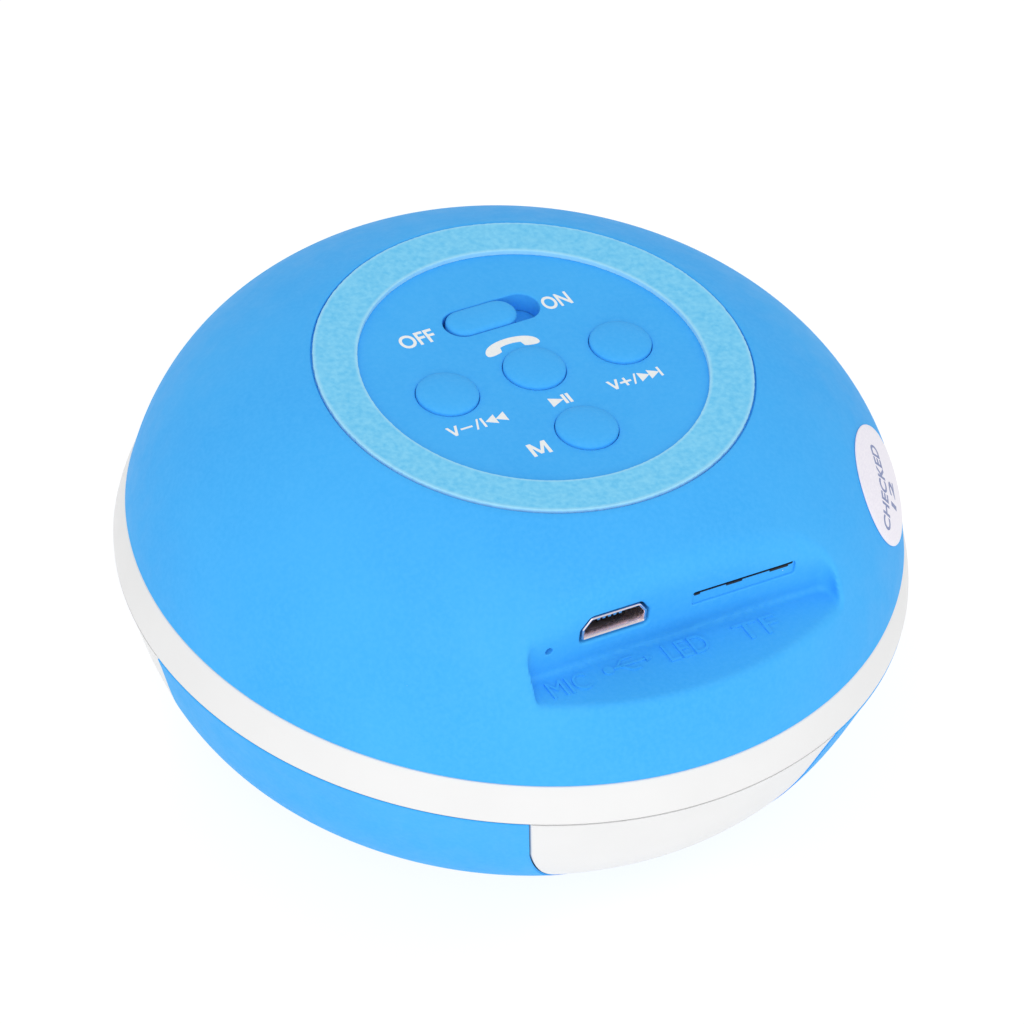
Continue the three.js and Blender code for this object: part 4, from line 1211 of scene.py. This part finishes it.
def driver_front():
    """The parts of the driver that show through the grille: surround, cone and dust cap."""
    roll_out = arc(ROLL_MIDDLE, 1.5, 190, 350, 15)
    roll_in = arc(ROLL_MIDDLE, 1.15, 345, 195, 15)
    foot, glued_edge = [(19.6, -18.35)], [(13.9, -17.95), (13.9, -18.3)]
    surround = [(19.6, -18.05), (17.0, -18.05), *roll_in, *glued_edge, *roll_out, *foot]
    low, high = corners("driver_cone")
    cone_front = bezier([(13.5, low.z), (10.5, -16.6), (6.7, -12.9)], 20)
    cone_back = bezier([(6.7, high.z), (10.6, -16.1), (13.8, -17.9)], 20)
    cap_front = bezier([(6.2, -13.7), (3.8, corners("driver_dust_cap")[0].z), (0, -15.6)], 14)
    cap_back = bezier([(0, -15.3), (3.6, -15.3), (6.2, -13.4)], 14)
    shapes = {
        "driver_surround": ("surround_roll", surround, HOUSING, "black_rubber"),
        "driver_cone": ("paper_cone", [*cone_front, *cone_back], "speaker_motor", "cone_paper"),
        "driver_dust_cap": ("dust_dome", [*cap_front, *cap_back], "speaker_motor", "cone_paper"),
    }
    for node, (name, profile, body, slot) in shapes.items():
        finished(lathe(name, profile, DRIVER_TURN_STEPS), body, slot, node)


# ---- Ports ----


def sleeve(name, rings):
    """A tube whose wall is skinned round rings that run out, over its lip and back in."""
    return solid(name, np.vstack(rings), grid_faces(len(rings), len(rings[0])))


def usb_socket():
    """The socket's drawn steel shell with a rolled lip and a ramp below, and its five contacts."""
    mouth = RECESS["wall"] + USB_LIP
    back = corners("usb_shell")[1].y
    metal = USB["metal"]
    rings = [upright(usb_outline(0), back)]
    for angle in np.linspace(0, math.pi, 7):
        inset = metal / 2 * (1 - math.cos(angle))
        rings.append(upright(usb_outline(-inset), mouth + metal / 2 * (1 - math.sin(angle))))
    inner = usb_outline(-metal)
    below = np.clip((USB["z"] - inner[:, 1]) / (USB["height"] / 2), 0, 1)
    raised = inner + np.column_stack([np.zeros(len(inner)), below * USB_RAMP["rise"]])
    rings += [upright(raised, mouth + USB_RAMP["depth"]), upright(raised, back)]
    finished(sleeve("usb_can", rings), HOUSING, "steel", "usb_shell", look=USB_STEEL)
    front = mouth + USB_CONTACTS["depth"]
    for index in range(USB_CONTACTS["count"]):
        x = USB["x"] + (USB_CONTACTS["first"] + index) * USB_CONTACTS["pitch"]
        strip = bar_outline(x, **USB_CONTACT)
        ends = [upright(strip, front), upright(strip, front + USB_CONTACTS["length"])]
        finished(loft(f"usb_contact_{index + 1}", ends), HOUSING, "steel", look=USB_STEEL)


def card_slot_liner():
    """The black mouth of the card socket, which lines the slit and its notches."""
    face = RECESS["wall"] + CARD_RELIEF_DEPTH + CARD_LINER["gap"]
    back = face + CARD_LINER["depth"]
    slit = bar_outline(**CARD_SLIT)
    outer, inner = grown(slit, CARD_LINER["outer"]), grown(slit, CARD_LINER["inner"])
    rings = [upright(outer, back), upright(outer, face), upright(inner, face), upright(inner, back)]
    parts = [sleeve("slit_lining", rings)]
    for x, width in CARD_NOTCHES:
        notch = bar_outline(x, width, **CARD_LINER_NOTCH)
        parts.append(loft("notch_lining", [upright(notch, face - 0.03), upright(notch, face + 1)]))
    finished(joined("card_slot_liner", parts), HOUSING, "black_plastic")


# ---- Prints and raised labels ----


def letters(text, left, right, low, high, bold=0.02):
    """Letters that fill a box in X and Y, from height 0 to 1 millimetre."""
    curve = bpy.data.curves.new(text, "FONT")
    curve.body = text
    curve.resolution_u = 5
    curve.offset = bold
    curve.extrude = 0.5
    obj = curve_mesh(text, curve, (0, 0, 0))
    points = np.array([vertex.co for vertex in obj.data.vertices])
    start, end = points.min(axis=0), points.max(axis=0)
    target_low, target_high = np.array((left, low, 0)) * MM, np.array((right, high, 1)) * MM
    points = target_low + (points - start) / (end - start) * (target_high - target_low)
    obj.data.vertices.foreach_set("co", points.ravel())
    return obj


def laid(obj, bottom, top):
    """Gives flat letters or shapes of height 0 to 1 millimetre their real bottom and top."""
    obj.data.transform(Matrix.Diagonal((1, 1, top - bottom, 1)))
    obj.data.transform(Matrix.Translation((0, 0, SEAM + bottom * MM)))
    return obj


def prism(name, outline):
    """A flat shape of height 0 to 1 millimetre from an outline in millimetres."""
    obj = loft(name, [level(outline, 0), level(outline, 1)])
    obj.data.transform(Matrix.Translation((0, 0, -SEAM)))
    return obj


SIGN_WIDTHS = {"M": 1, "V": 1.3, "-": 1.5, "+": 1.3, "/": 0.8, "|": 0.26, "<": 1.2, ">": 1.2}
SIGN_GAPS = {"M": 0, "V": 0.05, "/": 0.16, "-": 0.12, "+": 0.06, "<": -0.04, ">": -0.04, "|": 0.14}
SIGN_SHAPES = {
    "M": [
        (0, 0), (0, 1), (0.22, 1), (0.5, 0.35), (0.78, 1), (1, 1), (1, 0),
        (0.82, 0), (0.82, 0.66), (0.58, 0.1), (0.42, 0.1), (0.18, 0.66), (0.18, 0),
    ],
    "V": [(0, 1), (0.23, 1), (0.5, 0.3), (0.77, 1), (1, 1), (0.61, 0), (0.39, 0)],
    "-": [(0.05, 0.4), (0.95, 0.4), (0.95, 0.56), (0.05, 0.56)],
    "+": [
        (0, 0.4), (0.4, 0.4), (0.4, 0.06), (0.6, 0.06), (0.6, 0.4), (1, 0.4),
        (1, 0.58), (0.6, 0.58), (0.6, 0.92), (0.4, 0.92), (0.4, 0.58), (0, 0.58),
    ],
    "/": [(0, -0.02), (0.27, -0.02), (1, 1.02), (0.73, 1.02)],
    "|": [(0, 0), (1, 0), (1, 1), (0, 1)],
    "<": [(0, 0.5), (1, 0), (1, 1)],
    ">": [(0, 0), (1, 0.5), (0, 1)],
}


def signs(text, left, right, middle, height=LEGEND_HEIGHT):
    """A row of drawn signs that fills a width, centred on a height in Y."""
    widths = [SIGN_WIDTHS[sign] for sign in text]
    spaces = [SIGN_GAPS[sign] for sign in text[:-1]]
    scale = (right - left) / (sum(widths) + sum(spaces))
    low = middle - height / 2
    made, x = [], left
    for sign, width, space in zip(text, widths, [*spaces, 0]):
        shape = [(x + u * width * scale, low + v * height) for u, v in SIGN_SHAPES[sign]]
        made.append(prism(sign, shape))
        x += (width + space) * scale
    return made


def handset(x, y):
    """A telephone handset, arched over its two ear pieces."""
    outer = bezier([(3.05, -0.45), (2.7, 1.45), (-2.7, 1.45), (-3.05, -0.45)], 31)
    left_pad = bezier([(-3.05, -0.45), (-3.15, -1.0), (-2.6, -1.05), (-1.7, -0.82)], 9)[1:]
    left_step = bezier([(-1.35, -0.7), (-1.25, -0.3), (-1.2, -0.05)], 5)
    inner = bezier([(-1.2, -0.05), (-0.5, 0.18), (0.5, 0.18), (1.2, -0.05)], 11)[1:]
    right_step = (left_step[::-1] * (-1, 1))[1:]
    right_pad = left_pad[::-1] * (-1, 1)
    outline = np.vstack([outer, left_pad, left_step, inner, right_step, right_pad])
    return prism("handset", outline + (x, y))


def control_legends():
    """The white prints on the control panel."""
    prints = [letters(text, *box) for text, box in LEGEND_WORDS.items()]
    prints.append(handset(*HANDSET_PLACE))
    for text, box in LEGEND_SIGNS.items():
        prints += signs(text, *box)
    legends = joined("control_legends", prints)
    legends.data.transform(Matrix.Translation(Vector((*LEGEND_SHIFT, 0)) * MM))
    laid(legends, PANEL_TOP - INK_SUNK, PANEL_TOP + LEGEND_INK_THICK)
    finished(legends, HOUSING, "white_plastic", look=LEGEND_INK)


def cable_sign():
    """The forked cable sign: a bar, a disc, an arrow head and two bent branches."""
    shapes = [bar_outline(**CABLE_SIGN_BAR), circle(**CABLE_SIGN_DISC), *CABLE_SIGN_SHAPES]
    return [prism("cable_sign", np.array(shape) + (0, CABLE_SIGN_Y)) for shape in shapes]


def port_labels():
    """The raised labels on the recess floor, in the shell's own colour."""
    labels = [letters(text, *box, bold=0) for text, box in PORT_WORDS.items()] + cable_sign()
    bottom, top = (RECESS["floor"] + height for height in PORT_WORD_HEIGHTS)
    raised = laid(joined("port_labels", labels), bottom, top)
    finished(raised, HOUSING, "soft_blue")


def on_dome(u, v, lift):
    """Places on the dome at the sticker: u is level, along rising azimuth, and v runs up the dome."""
    heading = heading_of(dome_curve)
    lengths = np.concatenate([[0], np.cumsum(np.linalg.norm(np.diff(dome_curve, axis=0), axis=1))])
    middle_radius, middle_height = bezier(DOME_CURVE, 1001)[round(STICKER["along"] * 1000)]
    at = np.interp(middle_height, dome_curve[:, 1], lengths) + v
    radius = np.interp(at, lengths, dome_curve[:, 0]) + lift * np.interp(at, lengths, heading[:, 1])
    height = np.interp(at, lengths, dome_curve[:, 1]) - lift * np.interp(at, lengths, heading[:, 0])
    angle = math.radians(STICKER["angle"]) + u / middle_radius
    return np.stack([radius * np.cos(angle), radius * np.sin(angle), height], axis=-1)


def inspection_sticker():
    """An oval paper label that follows the dome, with a rounded edge."""
    turns = np.linspace(0, 2 * math.pi, 96, endpoint=False)
    u, v = STICKER["half_length"] * np.cos(turns), STICKER["half_width"] * np.sin(turns)
    under, over = STICKER_LIFT, STICKER_LIFT + STICKER_THICK
    across = [(share, under) for share in (0.0001, *np.linspace(0.1, 1, 10))]
    across += [(1.004, (under + over) / 2), (1, over - 0.03)]
    across += [(share, over) for share in (0.994, *np.linspace(0.9, 0.1, 9), 0.0001)]
    rings = [on_dome(share * u, share * v, lift) for share, lift in across]
    label = loft("oval_label", rings)
    finished(label, HOUSING, "sticker_paper", "inspection_sticker")


def sticker_print():
    """Two lines of plain inspection text on the label."""
    text = joined("label_print", [letters(line, *box) for line, box in STICKER_WORDS.items()])
    text.data.transform(Matrix.Rotation(math.radians(STICKER["print_turn"]), 4, "Z"))
    points = np.array([vertex.co for vertex in text.data.vertices]) / MM
    lift = STICKER_LIFT + STICKER_THICK - INK_SUNK + points[:, 2] * STICKER_INK_THICK
    wrapped = on_dome(points[:, 0], points[:, 1], lift) * MM + (0, 0, SEAM)
    text.data.vertices.foreach_set("co", wrapped.ravel())
    finished(text, HOUSING, "sticker_paper", look=STICKER_INK)


# ---- Studio ----


def camera():
    """A long lens at the photograph's angle, aimed at the middle of the seam plane."""
    heading, elevation, roll = (math.radians(CAMERA[angle]) for angle in ("heading", "elevation", "roll"))
    forward = Vector((0, math.cos(elevation), -math.sin(elevation)))
    level_right = Vector((1, 0, 0))
    level_up = level_right.cross(forward)
    right = level_right * math.cos(roll) + level_up * math.sin(roll)
    up = level_up * math.cos(roll) - level_right * math.sin(roll)
    spin = Matrix.Rotation(heading, 3, "Z")
    forward, right, up = spin @ forward, spin @ right, spin @ up
    aim = Vector((0, 0, SEAM)) + (right * CAMERA_AIM["right"] + up * CAMERA_AIM["up"]) * MM
    place = aim - forward * CAMERA_DISTANCE * MM
    data = bpy.data.cameras.new("camera")
    data.lens = CAMERA_LENS
    data.sensor_width = 36
    data.clip_start, data.clip_end = 0.01, 20
    view = linked("camera", data)
    turn = Matrix((right, up, -forward)).transposed().to_4x4()
    view.matrix_world = Matrix.Translation(place) @ turn
    bpy.context.scene.camera = view


def soft_light():
    """A large round light near the camera, aimed at the speaker."""
    data = bpy.data.lights.new("soft_light", "AREA")
    data.shape = "DISK"
    data.size = SOFT_LIGHT_WIDTH
    data.energy = SOFT_LIGHT_POWER
    light = linked("soft_light", data)
    place = Vector(SOFT_LIGHT_PLACE)
    light.location = place
    light.rotation_euler = (Vector((0, 0, SEAM)) - place).to_track_quat("-Z", "Y").to_euler()


def studio():
    """A white light table and an even white surround."""
    half = TABLE_HALF_WIDTH
    mesh = bpy.data.meshes.new("floor")
    edge = [(-half, -half), (half, -half), (half, half), (-half, half)]
    mesh.from_pydata([(x, y, TABLE_LEVEL) for x, y in edge], [], [(0, 1, 2, 3)])
    floor = linked("floor", mesh)
    paint = Look("light_table", 0.9, Specular_IOR_Level=0.1)
    paint.colour(paint.mix(paint.spread(paint.noise(30), 0.3, 0.7), (0.2, 0.2, 0.2), (0.19, 0.19, 0.19)))
    paint.shader.inputs["Emission Color"].default_value = (1, 1, 1, 1)
    paint.shader.inputs["Emission Strength"].default_value = TABLE_GLOW
    mesh.materials.append(paint.material)
    world = bpy.data.worlds.new("surround")
    world.use_nodes = True
    world.node_tree.nodes["Background"].inputs["Color"].default_value = (1, 1, 1, 1)
    world.node_tree.nodes["Background"].inputs["Strength"].default_value = SURROUND_LIGHT
    scene = bpy.context.scene
    scene.world = world
    scene.view_settings.view_transform = "Standard"
    soft_light()


# ---- Assembly ----

dress_cad_nodes()
upper_shell()
anti_slip_ring()
key_caps()
power_knob()
mid_band()
lower_cover()
lower_shell()
grille_bezel()
speaker_grille()
driver_front()
usb_socket()
card_slot_liner()
control_legends()
port_labels()
inspection_sticker()
sticker_print()
camera()
studio()
